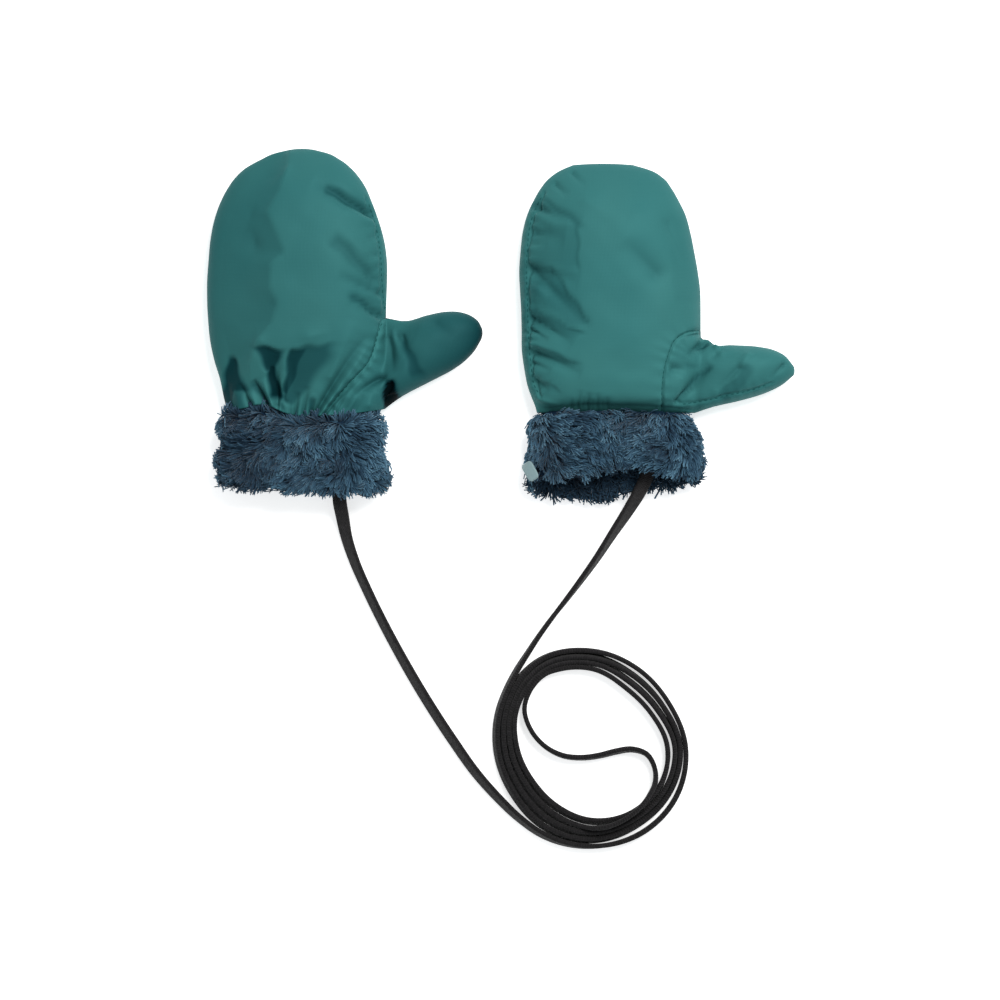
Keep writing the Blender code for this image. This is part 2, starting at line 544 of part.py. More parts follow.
def string_tube(name, route, material, place):
    """A stretch of the string: a tube on one smooth curve through the route's points."""
    length = np.linalg.norm(np.diff(route, axis=0), axis=1).sum()
    count = round(length / (STRING_STEP * STRING_DIAMETER))
    points = along_path(route, np.linspace(0, 1, count)) * MM
    curve = bpy.data.curves.new(name, "CURVE")
    curve.dimensions = "3D"
    curve.bevel_depth = STRING_DIAMETER / 2 * MM
    curve.bevel_resolution = 2
    curve.use_fill_caps = True
    spline = curve.splines.new("POLY")
    spline.points.add(count - 1)
    for target, point in zip(spline.points, points):
        target.co = (*point, 1.0)
    curve.materials.append(material)
    piece = bpy.data.objects.new(name, curve)
    piece.location = (place[0] * MM, place[1] * MM, 0)
    bpy.context.scene.collection.objects.link(piece)
    return piece


def string_coil(name, material):
    """The wound string as one ring: a band of turns standing on their edges."""
    degrees = [row.degrees for row in COIL_ROWS]
    keys = [d - 360 for d in degrees] + degrees + [d + 360 for d in degrees]
    angles = np.arange(COIL_SECTIONS) * 360 / COIL_SECTIONS
    inner = smooth(keys, [row.inner for row in COIL_ROWS] * 3, angles)
    outer = smooth(keys, [row.outer for row in COIL_ROWS] * 3, angles)
    bottom = STRING_CLEARANCE
    top = bottom + COIL_HEIGHT
    side = top - COIL_EDGE
    section = [(0, bottom), (1, bottom), (1, side), (1 - COIL_EDGE_SHARE, top), (COIL_EDGE_SHARE, top),
               (0, side)]
    points = []
    for angle, near, far in zip(np.radians(angles), inner, outer):
        for share, z in section:
            radius = near + (far - near) * share
            points.append((radius * math.cos(angle), radius * math.sin(angle), z))
    faces = ring_faces(COIL_SECTIONS, len(section), True)
    return object_from(name, points, faces, material, COIL_PLACE)


def finish(name, colour, roughness, sheen):
    material = bpy.data.materials.new(name)
    material.use_nodes = True
    shader = material.node_tree.nodes["Principled BSDF"]
    shader.inputs["Base Color"].default_value = (*colour, 1.0)
    shader.inputs["Roughness"].default_value = roughness
    shader.inputs["Metallic"].default_value = 0.0
    shader.inputs["Sheen Weight"].default_value = sheen
    return material


def mitten(side, hand, place, sag, upper_side, lower_side, thumb_edges, table, lips, shell, pile):
    """Five pieces: the upper and lower hand panels, the upper and lower thumb pieces, and the cuff."""
    for height, up, size, (name, seam, folds, columns) in (
        (upper_height, True, UPPER_GRID, upper_side),
        (lower_height, False, LOWER_GRID, lower_side),
    ):
        seam_z = SEAM_HEIGHT + (SEAM_GAP / 2 if up else -SEAM_GAP / 2)
        grid = hand_grid(hand, seam, size.along_seam, size.above_seam, columns, height)
        tilt = hand_tilt(hand, grid[:, :, 0], grid[:, :, 1], height, up)
        on_form = np.abs(grid[:, :, 2] - seam_z) > ON_SEAM
        panel(f"{side}_{name}", grid, seam_z, up, on_form, tilt, False, folds, sag, shell, place)
        grid = thumb_grid(hand, seam, *thumb_edges, size.along_seam, height)
        tilt = hand_tilt(hand, grid[:, :, 0], grid[:, :, 1], height, up)
        on_form = np.zeros(grid.shape[:2], bool)
        on_form[0, 1:] = True
        panel(f"{side}_thumb_{name}", grid, seam_z, up, on_form, tilt, True, folds, sag, shell, place)
    cuff(f"{side}_cuff", table, lips, sag, pile, place)


def main():
    for old in list(bpy.data.objects):
        bpy.data.objects.remove(old)
    shell = finish("shell", (0.055, 0.205, 0.195), 0.42, 0.2)
    pile = finish("pile", (0.045, 0.08, 0.13), 0.95, 0.6)
    webbing = finish("webbing", (0.02, 0.02, 0.022), 0.85, 0.1)
    tab = finish("tab", (0.3, 0.42, 0.44), 0.7, 0.1)
    left_sag = (-3.0, 0.6)
    right_sag = (0.4, 0.0)
    left_lips = (LEFT_LIP_UPPER, LEFT_LIP_LOWER)
    right_lips = (RIGHT_LIP_UPPER, RIGHT_LIP_LOWER)
    mitten("left", LEFT_HAND, LEFT_PLACE, left_sag,
           ("back", LEFT_BACK_SEAM, LEFT_BACK_FOLDS, GATHERED_COLUMNS),
           ("palm", LEFT_PALM_SEAM, NO_FOLDS, UNDER_COLUMNS),
           (LEFT_THUMB_LOWER, LEFT_THUMB_UPPER), LEFT_CUFF, left_lips, shell, pile)
    mitten("right", RIGHT_HAND, RIGHT_PLACE, right_sag,
           ("palm", RIGHT_PALM_SEAM, RIGHT_PALM_FOLDS, SMOOTH_COLUMNS),
           ("back", RIGHT_BACK_SEAM, NO_FOLDS, UNDER_COLUMNS),
           (RIGHT_THUMB_LOWER, RIGHT_THUMB_UPPER), RIGHT_CUFF, right_lips, shell, pile)
    label("right_label", RIGHT_CUFF, right_lips, right_sag, tab, RIGHT_PLACE)
    string_tube("string_left", LEFT_STRING_ROUTE, webbing, (0, 0))
    string_tube("string_right", RIGHT_STRING_ROUTE, webbing, (0, 0))
    string_tube("string_middle", MIDDLE_STRING_ROUTE, webbing, COIL_PLACE)
    string_coil("string_coil", webbing)


main()
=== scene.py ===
"""A pair of baby mittens on one string, laid flat: taffeta shells, pile cuffs and black webbing.

Sizes are in millimetres until a mesh is made, from each mitten's own origin: the middle of its
wrist seam, on the surface that it lies on. +X runs to the thumb, +Y to the fingertips, +Z up.
"""
import math
from collections import namedtuple

import bpy
import numpy as np
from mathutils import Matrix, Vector
from mathutils.bvhtree import BVHTree


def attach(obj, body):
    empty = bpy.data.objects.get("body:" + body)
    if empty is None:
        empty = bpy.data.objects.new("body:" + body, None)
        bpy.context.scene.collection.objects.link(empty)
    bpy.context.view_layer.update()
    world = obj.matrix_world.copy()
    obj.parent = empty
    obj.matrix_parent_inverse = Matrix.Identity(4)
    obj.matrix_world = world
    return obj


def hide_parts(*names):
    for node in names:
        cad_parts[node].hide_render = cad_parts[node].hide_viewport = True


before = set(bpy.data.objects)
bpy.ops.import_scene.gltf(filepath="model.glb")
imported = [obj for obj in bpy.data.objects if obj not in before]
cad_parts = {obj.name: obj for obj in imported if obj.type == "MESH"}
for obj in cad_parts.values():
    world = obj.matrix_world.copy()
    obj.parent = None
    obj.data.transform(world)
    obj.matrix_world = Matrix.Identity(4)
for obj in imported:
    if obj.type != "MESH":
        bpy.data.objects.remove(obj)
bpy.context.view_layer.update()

MM = 0.001
ON_SEAM = 1e-6           # what is nearer than this is on the seam


def listed(kind, rows):
    """A table with names for its columns."""
    return [kind(*row) for row in rows]


# ---------------- curves and sections

def smooth(keys, values, at):
    """Values at the places asked for, on one smooth curve through the rows of a table."""
    keys = np.asarray(keys, float)
    values = np.asarray(values, float)
    slopes = np.gradient(values, keys)
    at = np.clip(at, keys[0], keys[-1])
    i = np.clip(np.searchsorted(keys, at) - 1, 0, len(keys) - 2)
    span = keys[i + 1] - keys[i]
    t = (at - keys[i]) / span
    start = (1 + 2 * t) * (1 - t) ** 2 * values[i] + t * (1 - t) ** 2 * span * slopes[i]
    end = t * t * (3 - 2 * t) * values[i + 1] + t * t * (t - 1) * span * slopes[i + 1]
    return start + end


def by(rows, name, at):
    """One column of a table at the places asked for, on a smooth curve along its first column."""
    return smooth([row[0] for row in rows], [getattr(row, name) for row in rows], at)


def reach_along(points):
    """How far along a line each of its points is."""
    return np.concatenate([[0], np.cumsum(np.linalg.norm(np.diff(points, axis=0), axis=1))])


def along_path(points, fractions):
    """Places at these fractions of a path's length, on one smooth curve through its points."""
    points = np.asarray(points, float)
    reach = reach_along(points)
    return np.stack([smooth(reach / reach[-1], column, fractions) for column in points.T], axis=-1)


def unit(vectors):
    return vectors / np.linalg.norm(vectors, axis=-1, keepdims=True)


def right_of(line):
    """Unit normals of a line (x, y), on its right."""
    run = np.gradient(line, axis=0)
    return unit(np.stack([run[:, 1], -run[:, 0]], axis=1))


def level_across(run):
    """Level unit vectors to the left of a line that runs this way."""
    return unit(np.stack([-run[:, 1], run[:, 0], 0 * run[:, 0]], axis=1))


def onto(start, end, x, y, limits=(0, 1)):
    """For each place: what share of the way from start to end is nearest, and how far off it is."""
    run_x, run_y = end[0] - start[0], end[1] - start[1]
    share = ((x - start[0]) * run_x + (y - start[1]) * run_y) / (run_x**2 + run_y**2)
    share = np.clip(share, *limits)
    return share, np.hypot(x - start[0] - share * run_x, y - start[1] - share * run_y)


def step_between(low, high, value):
    """0 below low, 1 above high and a soft step between them."""
    t = np.clip((value - low) / (high - low), 0, 1)
    return t * t * (3 - 2 * t)


def blend(first, second, share):
    return first * (1 - share) + second * share


def bow(share):
    """0 at both ends of a span and 1 in its middle."""
    return 1 - (2 * share - 1) ** 2


def eased(count):
    """Shares from 0 to 1 that lie closer together at both ends."""
    return (1 - np.cos(np.linspace(0, math.pi, count))) / 2


WAVES_EACH = 14
Waves = namedtuple("Waves", "shortest longest size")


def unevenness(x, y, kinds, seed):
    """Low waves that cross each other at all angles, the same on every run."""
    draw = np.random.default_rng(seed)
    total = np.zeros_like(x)
    for shortest, longest, size in kinds:
        for _ in range(WAVES_EACH):
            heading = draw.uniform(0, math.pi)
            turn = 2 * math.pi / draw.uniform(shortest, longest)
            phase = draw.uniform(0, 2 * math.pi)
            wave = np.sin((x * math.cos(heading) + y * math.sin(heading)) * turn + phase)
            total += size * math.sqrt(2 / WAVES_EACH) * wave
    return total


# ---------------- meshes

def add_object(name, data):
    added = bpy.data.objects.new(name, data)
    bpy.context.scene.collection.objects.link(added)
    return added


def object_from(name, points, faces, material, place=(0, 0)):
    """A smooth mesh object whose points, given in millimetres from a place, are set in the world."""
    points = np.asarray(points).reshape(-1, 3) + (place[0], place[1], 0)
    mesh = bpy.data.meshes.new(name)
    mesh.from_pydata([tuple(p) for p in points * MM], [], faces)
    mesh.validate()
    mesh.shade_smooth()
    mesh.materials.append(material)
    return add_object(name, mesh)


def wall_faces(rows, columns, flip):
    """Faces of a closed wall: a grid of outer points, then one of inner points, and the strip between."""
    points = np.arange(2 * rows * columns).reshape(2, rows, columns)
    corners = (points[:, :-1, :-1], points[:, :-1, 1:], points[:, 1:, 1:], points[:, 1:, :-1])
    outer, inner = np.stack(corners, axis=-1).reshape(2, -1, 4)
    sides = (points[:, 0, :-1], points[:, :-1, -1], points[:, -1, :0:-1], points[:, :0:-1, 0])
    rim = np.concatenate(sides, axis=1)
    after = np.roll(rim, -1, axis=1)
    strip = np.stack([rim[0], rim[1], after[1], after[0]], axis=1)
    if flip:
        outer, strip = outer[:, ::-1], strip[:, ::-1]
    else:
        inner = inner[:, ::-1]
    return np.concatenate([outer, inner, strip]).tolist()


def ring_faces(rings, size, closed):
    """Faces of a band of rings, each joined to the next. Unless it is closed, its two ends get caps."""
    points = np.arange(rings * size).reshape(rings, size)
    beside = np.roll(points, -1, axis=1)
    faces = np.stack([np.roll(points, -1, axis=0), np.roll(beside, -1, axis=0), beside, points], axis=-1)
    if closed:
        return faces.reshape(-1, 4).tolist()
    return faces[:-1].reshape(-1, 4).tolist() + [points[0].tolist(), points[-1, ::-1].tolist()]


def uv_from(piece, u, v):
    """Gives every corner of a piece the (u, v) of its point."""
    layer = piece.data.uv_layers.new(name="cloth")
    corner = np.empty(len(piece.data.loops), np.int32)
    piece.data.loops.foreach_get("vertex_index", corner)
    pairs = np.stack([np.ravel(u)[corner], np.ravel(v)[corner]], axis=1)
    layer.data.foreach_set("uv", pairs.astype(np.float32).ravel())


def point_values(mesh, name, values):
    """Gives every point of a mesh a number, or a vector."""
    kind, key = ("FLOAT_VECTOR", "vector") if values.ndim > 2 else ("FLOAT", "value")
    layer = mesh.attributes.new(name, kind, "POINT")
    layer.data.foreach_set(key, values.astype(np.float32).ravel())


# ---------------- camera, floor and light

CAMERA_LENS = 135.0
CAMERA_PLACE = (-0.0002, -0.0796, 1.734)
FLOOR_HALF = 2.0
PAPER_COLOUR = (0.93, 0.93, 0.93, 1)
PAPER_GLOW = 0.6
SKY_STRENGTH = 0.52
LAMP_PLACE = (0.50, 0.66, 1.25)
LAMP_AIM = (0, -0.05, 0)
LAMP_SIZE = 0.8
LAMP_POWER = 21.6


def straight_down_camera():
    lens = bpy.data.cameras.new("camera")
    lens.lens = CAMERA_LENS
    lens.sensor_width = 36.0
    lens.clip_end = 10.0
    camera = add_object("camera", lens)
    camera.location = CAMERA_PLACE
    bpy.context.scene.camera = camera


def pale_floor():
    mesh = bpy.data.meshes.new("floor")
    corners = [(FLOOR_HALF * x, FLOOR_HALF * y, 0) for x, y in ((-1, -1), (1, -1), (1, 1), (-1, 1))]
    mesh.from_pydata(corners, [], [(0, 1, 2, 3)])
    paper = bpy.data.materials.new("floor paper")
    paper.use_nodes = True
    sockets = paper.node_tree.nodes["Principled BSDF"].inputs
    for name, value in (("Base Color", PAPER_COLOUR), ("Roughness", 1.0), ("Specular IOR Level", 0.0),
                        ("Emission Color", (1, 1, 1, 1)), ("Emission Strength", PAPER_GLOW)):
        sockets[name].default_value = value
    mesh.materials.append(paper)
    add_object("floor", mesh)


def even_sky():
    world = bpy.data.worlds.new("studio")
    world.use_nodes = True
    sky = world.node_tree.nodes["Background"]
    sky.inputs["Color"].default_value = (0.94, 0.98, 1.0, 1)
    sky.inputs["Strength"].default_value = SKY_STRENGTH
    bpy.context.scene.world = world


def key_light():
    """One large soft lamp, high up on the far side and a little to the right."""
    lamp = bpy.data.lights.new("key light", "AREA")
    lamp.shape = "DISK"
    lamp.size = LAMP_SIZE
    lamp.energy = LAMP_POWER
    lamp.color = (1.0, 0.99, 0.965)
    light = add_object("key light", lamp)
    light.location = LAMP_PLACE
    away = np.subtract(LAMP_PLACE, LAMP_AIM)
    flat = math.hypot(away[0], away[1])
    light.rotation_euler = (math.atan2(flat, away[2]), 0, math.atan2(away[0], -away[1]))


# ---------------- materials

class Wiring:
    """A node tree being wired. Inputs are given by name or number, as values or as other nodes' outputs."""

    def __init__(self, tree):
        self.tree = tree

    def add(self, kind, inputs=(), output=0, **settings):
        """Adds one node and returns the output that is asked for."""
        made = self.tree.nodes.new(kind)
        for key, value in settings.items():
            setattr(made, key, value)
        for socket, value in dict(inputs).items():
            if isinstance(value, bpy.types.NodeSocket):
                self.tree.links.new(value, made.inputs[socket])
            else:
                made.inputs[socket].default_value = value
        return made.outputs[output]

    def math(self, operation, *values):
        return self.add("ShaderNodeMath", enumerate(values), operation=operation)


class Finish(Wiring):
    """A material being wired."""

    def __init__(self, name, roughness, sheen=0.0, sheen_roughness=0.5, specular=0.5, metallic=0.0):
        self.material = bpy.data.materials.new(name)
        self.material.use_nodes = True
        super().__init__(self.material.node_tree)
        self.sockets = self.tree.nodes["Principled BSDF"].inputs
        for key, value in (("Roughness", roughness), ("Sheen Weight", sheen), ("Metallic", metallic),
                           ("Sheen Roughness", sheen_roughness), ("Specular IOR Level", specular)):
            self.sockets[key].default_value = value
        places = self.tree.nodes.new("ShaderNodeTexCoord").outputs
        self.spot = places["Object"]
        self.uv = places["UV"]

    def noise(self, scale, detail):
        return self.add("ShaderNodeTexNoise", {"Vector": self.spot, "Scale": scale, "Detail": detail}, "Fac")

    def bands(self, direction, scale, distortion):
        return self.add("ShaderNodeTexWave", {"Vector": self.uv, "Scale": scale, "Distortion": distortion},
                        "Fac", wave_type="BANDS", bands_direction=direction)

    def attribute(self, name):
        return self.add("ShaderNodeAttribute", output="Fac", attribute_name=name)

    def ramp(self, source, *stops):
        """A colour, or a shade of grey, that goes from stop to stop as the source grows."""
        output = self.add("ShaderNodeValToRGB", {"Fac": source}, "Color")
        band = output.node.color_ramp
        while len(band.elements) < len(stops):
            band.elements.new(0.5)
        for element, (at, colour) in zip(band.elements, stops):
            element.position = at
            element.color = (*(colour if isinstance(colour, tuple) else (colour,) * 3), 1)
        return output

    def mix(self, share, first, second, blend_type="MIX"):
        second = (*second, 1) if isinstance(second, tuple) else second
        return self.add("ShaderNodeMix", {0: share, 6: first, 7: second}, 2, data_type="RGBA",
                        blend_type=blend_type)

    def times(self, colour, shade):
        return self.mix(1.0, colour, shade, "MULTIPLY")

    def bump(self, height, strength, distance, **under):
        return self.add("ShaderNodeBump", {"Height": height, "Strength": strength, "Distance": distance,
                                           **under}, "Normal")

    def done(self, colour, normal=None):
        self.tree.links.new(colour, self.sockets["Base Color"])
        if normal is not None:
            self.tree.links.new(normal, self.sockets["Normal"])
        return self.material


WEAVE_SCALE = 0.5        # threads a millimetre of cloth, on its UV in millimetres
PAINTED_BLACK_POWER = 8.0     # how late, as the painted shade deepens, the painted black of the deepest folds comes in
RIB_TURN = 5.2           # radians a millimetre, along and across the webbing, of its slanting ribs
ROW_TURN = 9.0           # and of its rows


def taffeta():
    """Thin satin taffeta over padding: teal with a coloured shine, a fine plain weave and painted shade."""
    cloth = Finish("taffeta", 0.55, specular=0.04, metallic=0.11)
    colour = cloth.ramp(cloth.noise(22.0, 2.0), (0.35, (0.034, 0.162, 0.163)), (0.65, (0.040, 0.173, 0.171)))
    # Painted shade: folds, darts, the flank, the upper hand and the thumb tips are darkened towards deep
    # teal, the deepest on towards black.
    dye = cloth.attribute("dye")
    colour = cloth.mix(dye, colour, (0.0, 0.030, 0.040))
    colour = cloth.mix(cloth.math("POWER", dye, PAINTED_BLACK_POWER), colour, (0.0, 0.004, 0.005))
    weave = cloth.math("MULTIPLY", cloth.bands("X", WEAVE_SCALE, 0.6), cloth.bands("Y", WEAVE_SCALE, 0.6))
    colour = cloth.times(colour, cloth.ramp(weave, (0.0, 0.95), (1.0, 1.03)))
    slack = cloth.bump(cloth.noise(260.0, 2.0), 0.06, 0.0006)
    return cloth.done(colour, cloth.bump(weave, 0.12, 0.0002, Normal=slack))


def pile_backing():
    """The knitted ground under the pile, nearly hidden by it."""
    cloth = Finish("pile backing", 0.95, specular=0.02)
    colour = cloth.ramp(cloth.noise(300.0, 4.0), (0.3, (0.004, 0.012, 0.026)), (0.7, (0.010, 0.026, 0.050)))
    return cloth.done(colour, cloth.bump(cloth.noise(900.0, 4.0), 0.6, 0.0008))


def pile_locks():
    """Curly pile: dark at the roots and paler at the tips, each lock with its own tone."""
    cloth = Finish("pile locks", 0.8, sheen=0.1, sheen_roughness=0.4, specular=0.12)
    root_to_tip = cloth.ramp(cloth.attribute("tip"), (0.0, (0.005, 0.016, 0.032)),
                             (0.4, (0.018, 0.048, 0.082)), (0.8, (0.038, 0.093, 0.148)),
                             (1.0, (0.062, 0.136, 0.202)))
    # The tone also carries the shade painted on the pile inside the cuff and on the mouth's lower lip.
    own = cloth.ramp(cloth.attribute("tone"), (0.0, (0.42, 0.45, 0.5)), (0.5, 1.0), (1.0, (2.1, 1.9, 1.75)))
    return cloth.done(cloth.times(root_to_tip, own))


def black_webbing():
    """Black webbing with a fine herringbone, on its UV in millimetres along and across."""
    cloth = Finish("black webbing", 0.75, sheen=0.05, specular=0.2)
    along = cloth.add("ShaderNodeSeparateXYZ", {"Vector": cloth.uv}, "X")
    across = along.node.outputs["Y"]
    slant = cloth.math("MULTIPLY", cloth.math("ADD", along, across), RIB_TURN)
    rows = cloth.math("SINE", cloth.math("MULTIPLY", across, ROW_TURN))
    height = cloth.math("ADD", cloth.math("SINE", slant), rows)
    colour = cloth.ramp(cloth.noise(700.0, 3.0), (0.3, (0.009, 0.0085, 0.009)), (0.7, (0.022, 0.0208, 0.022)))
    shade = cloth.ramp(cloth.math("MULTIPLY_ADD", height, 0.25, 0.5), (0.0, 0.6), (1.0, 1.5))
    colour = cloth.times(colour, shade)
    # Painted shade: the narrow edges, which face up where the webbing stands on edge in the coil, are
    # darkened.
    edge = cloth.math("MULTIPLY", cloth.math("ABSOLUTE", across), 2 / WEBBING_WIDTH)
    colour = cloth.times(colour, cloth.ramp(edge, (0.86, 1.0), (0.96, (0.6, 0.57, 0.6))))
    return cloth.done(colour, cloth.bump(height, 0.5, 0.0003))


def woven_tab():
    cloth = Finish("woven tab", 0.6, sheen=0.2, specular=0.3)
    ribs = cloth.bands("Y", 0.9, 0.4)
    colour = cloth.ramp(ribs, (0.0, (0.20, 0.31, 0.33)), (1.0, (0.29, 0.42, 0.44)))
    return cloth.done(colour, cloth.bump(ribs, 0.4, 0.0002))


def seam_thread():
    cloth = Finish("seam thread", 0.6, specular=0.05)
    return cloth.done(cloth.ramp(cloth.noise(1500.0, 2.0), (0.3, (0.008, 0.076, 0.076)),
                                 (0.7, (0.016, 0.106, 0.104))))


# ---------------- the string

WEBBING_WIDTH = 6.4
WEBBING_THICKNESS = 2.2
WEBBING_CLEARANCE = 0.3
# A quarter of the webbing's section, as shares of half its width and half its thickness.
WEBBING_CORNER = [(1.0, 0.35), (0.93, 0.8), (0.8, 1.0), (0.4, 1.0)]
STRING_STEP = 1.9
COIL_PLACE = (42.1, -194.1)

# Routes of the string from the pair's own origin or, for the middle, from the coil's middle. A tilt
# of 0 degrees is flat and 90 is on edge. Where z is None, the webbing rests on the floor.
StringRow = namedtuple("StringRow", "x y z tilt")
LEFT_STRING_ROUTE = listed(StringRow, [
    (-72.6, -62, 9.5, 0), (-73.6, -72, 9.6, 0), (-74, -79.4, 9.2, 8), (-72.8, -87.4, 5.4, 24),
    (-71.2, -96, None, 42), (-67.6, -107.2, None, 52), (-61.6, -121, None, 56), (-54.9, -134.8, None, 56),
    (-47.6, -148.6, None, 55), (-39.8, -162.4, None, 54), (-31.4, -176.2, None, 54),
    (-21.4, -191.4, None, 54), (-11.6, -205.2, None, 56), (-1.2, -217, None, 60), (8.6, -226.4, None, 66),
])
RIGHT_STRING_ROUTE = listed(StringRow, [
    (71.6, -56, 9.6, 4), (68.4, -65.8, 9.8, 10), (64.4, -75, 9.9, 22), (59.8, -83, 6.6, 40),
    (51.6, -95.6, None, 60), (44.6, -106.3, None, 70), (36.9, -117, None, 78), (30.2, -125.8, None, 84),
    (23.2, -134.8, None, 90), (18, -142, None, 92), (12.2, -150.8, None, 96), (8.1, -157.2, None, 100),
])
MIDDLE_STRING_ROUTE = listed(StringRow, [
    (-31, 17.4, None, 90), (-27.6, 7.6, None, 88), (-20.7, 0.2, None, 86), (-13.1, -3.5, None, 82),
    (-4.6, -4.4, None, 80), (3.7, -3.4, None, 78), (11, -1.6, None, 76), (18.9, -0.6, None, 78),
    (25.4, -2.8, None, 84), (29, -8.9, None, 90),
])
# Radii of the webbing round the coil's middle, every 30 degrees, as each half of it winds inwards.
TURN_STEP = 30
LEFT_TURNS_FROM = 240
LEFT_TURNS = [
    45.9, 45.3, 45.4, 45, 43.4, 41.2, 42.3, 44.9, 47.2, 44.7, 40.9, 38.5, 38.9, 39.5, 38.8, 39.1, 38.6,
    35.3, 35.4, 39.6, 42.6, 40.1, 35.1, 31.8, 31.8, 33.8, 35.4, 36.1, 35, 31.8, 31.9, 36.7, 40.3,
]
RIGHT_TURNS_FROM = 150
RIGHT_TURNS = [
    47, 43.8, 41.8, 42.4, 42.4, 41.2, 41.6, 41, 38.2, 38.7, 42.2, 44.9, 42.4, 38, 35.1, 35.4, 36.7, 35.4,
    33.4,
]
# How far each half's turns lean from upright, their tops towards the coil's middle, so that they close up.
LeanRow = namedtuple("LeanRow", "degrees lean")
LEFT_LEAN = listed(LeanRow, [
    (240, 20), (280, 4), (300, 0), (470, 0), (515, 20), (680, 20), (720, 9), (800, 9), (850, 20),
    (1030, 20), (1075, 0), (1200, 0),
])
RIGHT_LEAN = listed(LeanRow, [
    (150, 12), (200, 20), (290, 16), (330, 4), (390, 4), (430, 9), (470, 20), (600, 20), (640, 8),
    (690, 0),
])
TURN_POINTS = 60
CROSSING_DEGREES = 660   # where the right half's last turn climbs over the left half's
CROSSING_REACH = 42
CROSSING_RISE = 6.6
CROSSING_STEEP = 1.6     # the more, the sooner the climb is at its full height


def resting_height(tilt):
    """The height of the webbing's middle where it rests on the floor at this tilt."""
    lean = np.radians(tilt)
    tall = WEBBING_WIDTH * np.sin(lean) + WEBBING_THICKNESS * np.abs(np.cos(lean))
    return WEBBING_CLEARANCE + tall / 2


def route_points(rows, place=(0, 0)):
    """(x, y, z, tilt) along a route that isn't wound, one row a point."""
    return [(x + place[0], y + place[1], resting_height(tilt) if z is None else z, tilt)
            for x, y, z, tilt in rows]


def turn_points(radii, start, leans):
    """(x, y, z, tilt) round the coil's turns, from the outside inwards. The right half climbs at its end."""
    degrees = start + TURN_STEP * np.arange(len(radii))
    fine = np.arange(degrees[0], degrees[-1] + 0.1, 360 / TURN_POINTS)
    radius = smooth(degrees, radii, fine)
    lean = np.interp(fine, [row.degrees for row in leans], [row.lean for row in leans])
    z = resting_height(90 - lean)
    if start == RIGHT_TURNS_FROM:
        hump = np.clip(1 - np.abs(fine - CROSSING_DEGREES) / CROSSING_REACH, 0, 1)
        z += CROSSING_RISE * step_between(0, 1, hump * CROSSING_STEEP)
        lean = -lean
    angle = np.radians(fine)
    x = COIL_PLACE[0] + radius * np.cos(angle)
    y = COIL_PLACE[1] + radius * np.sin(angle)
    return np.stack([x, y, z, 90 - lean], axis=1)


def string_line():
    """The string's centreline and tilt from the left mitten to the right one."""
    rows = np.concatenate([
        route_points(LEFT_STRING_ROUTE), turn_points(LEFT_TURNS, LEFT_TURNS_FROM, LEFT_LEAN),
        route_points(MIDDLE_STRING_ROUTE, COIL_PLACE),
        turn_points(RIGHT_TURNS, RIGHT_TURNS_FROM, RIGHT_LEAN)[::-1], route_points(RIGHT_STRING_ROUTE)[::-1]])
    reach = reach_along(rows[:, :2])
    fine = np.linspace(0, reach[-1], round(reach[-1] / STRING_STEP) + 1)
    return np.stack([smooth(reach, column, fine) for column in rows.T], axis=1)


def string():
    """One length of flat webbing, from inside the left cuff through the coil into the right cuff."""
    line = string_line()
    middle = line[:, :3]
    run = unit(np.gradient(middle, axis=0))
    level = level_across(run)
    tilt = np.radians(line[:, 3])[:, None]
    broad = level * np.cos(tilt) + np.cross(run, level) * np.sin(tilt)
    narrow = np.cross(run, broad)
    upper = WEBBING_CORNER + [(-a, b) for a, b in reversed(WEBBING_CORNER)]
    section = np.array(upper + [(-a, -b) for a, b in upper]) * (WEBBING_WIDTH / 2, WEBBING_THICKNESS / 2)
    points = np.stack([middle + broad * a + narrow * b for a, b in section], axis=1)
    faces = ring_faces(len(line), len(section), False)
    piece = object_from("string_webbing", points, faces, black_webbing())
    reach = reach_along(middle)
    uv_from(piece, np.repeat(reach, len(section)), np.tile(section[:, 0], len(line)))
    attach(piece, "root")
    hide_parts("string_left", "string_right", "string_middle", "string_coil")


# ---------------- forms of the mittens

SEAM_GAP = 0.06          # between two pieces that are sewn together
SEAM_HEIGHT = 9.0        # of the side seams
HALF_WRIST = 37.0
WRIST_BAND = 30.0        # the sag of the wrist seam dies out over this length of the hand
RISE_AT = -19.0          # where the wrist seam rises, and how far to both sides
RISE_WIDTH = 9.0
DOME_POWER = 2.4         # of the padded sections: 2 is an ellipse
JOIN_POWER = 3           # how tightly hand and thumb run into one
SOLE_ROUND = 0.5         # how much of a section's half, from its edge in, is lifted off the floor
TIP_LENGTH = 42.0        # the length over which the hand falls to its fingertips
CUFF_POWER = 2.6
CUFF_SOLE_ROUND = 0.45
CUFF_SEAM_HEIGHT = 11.0

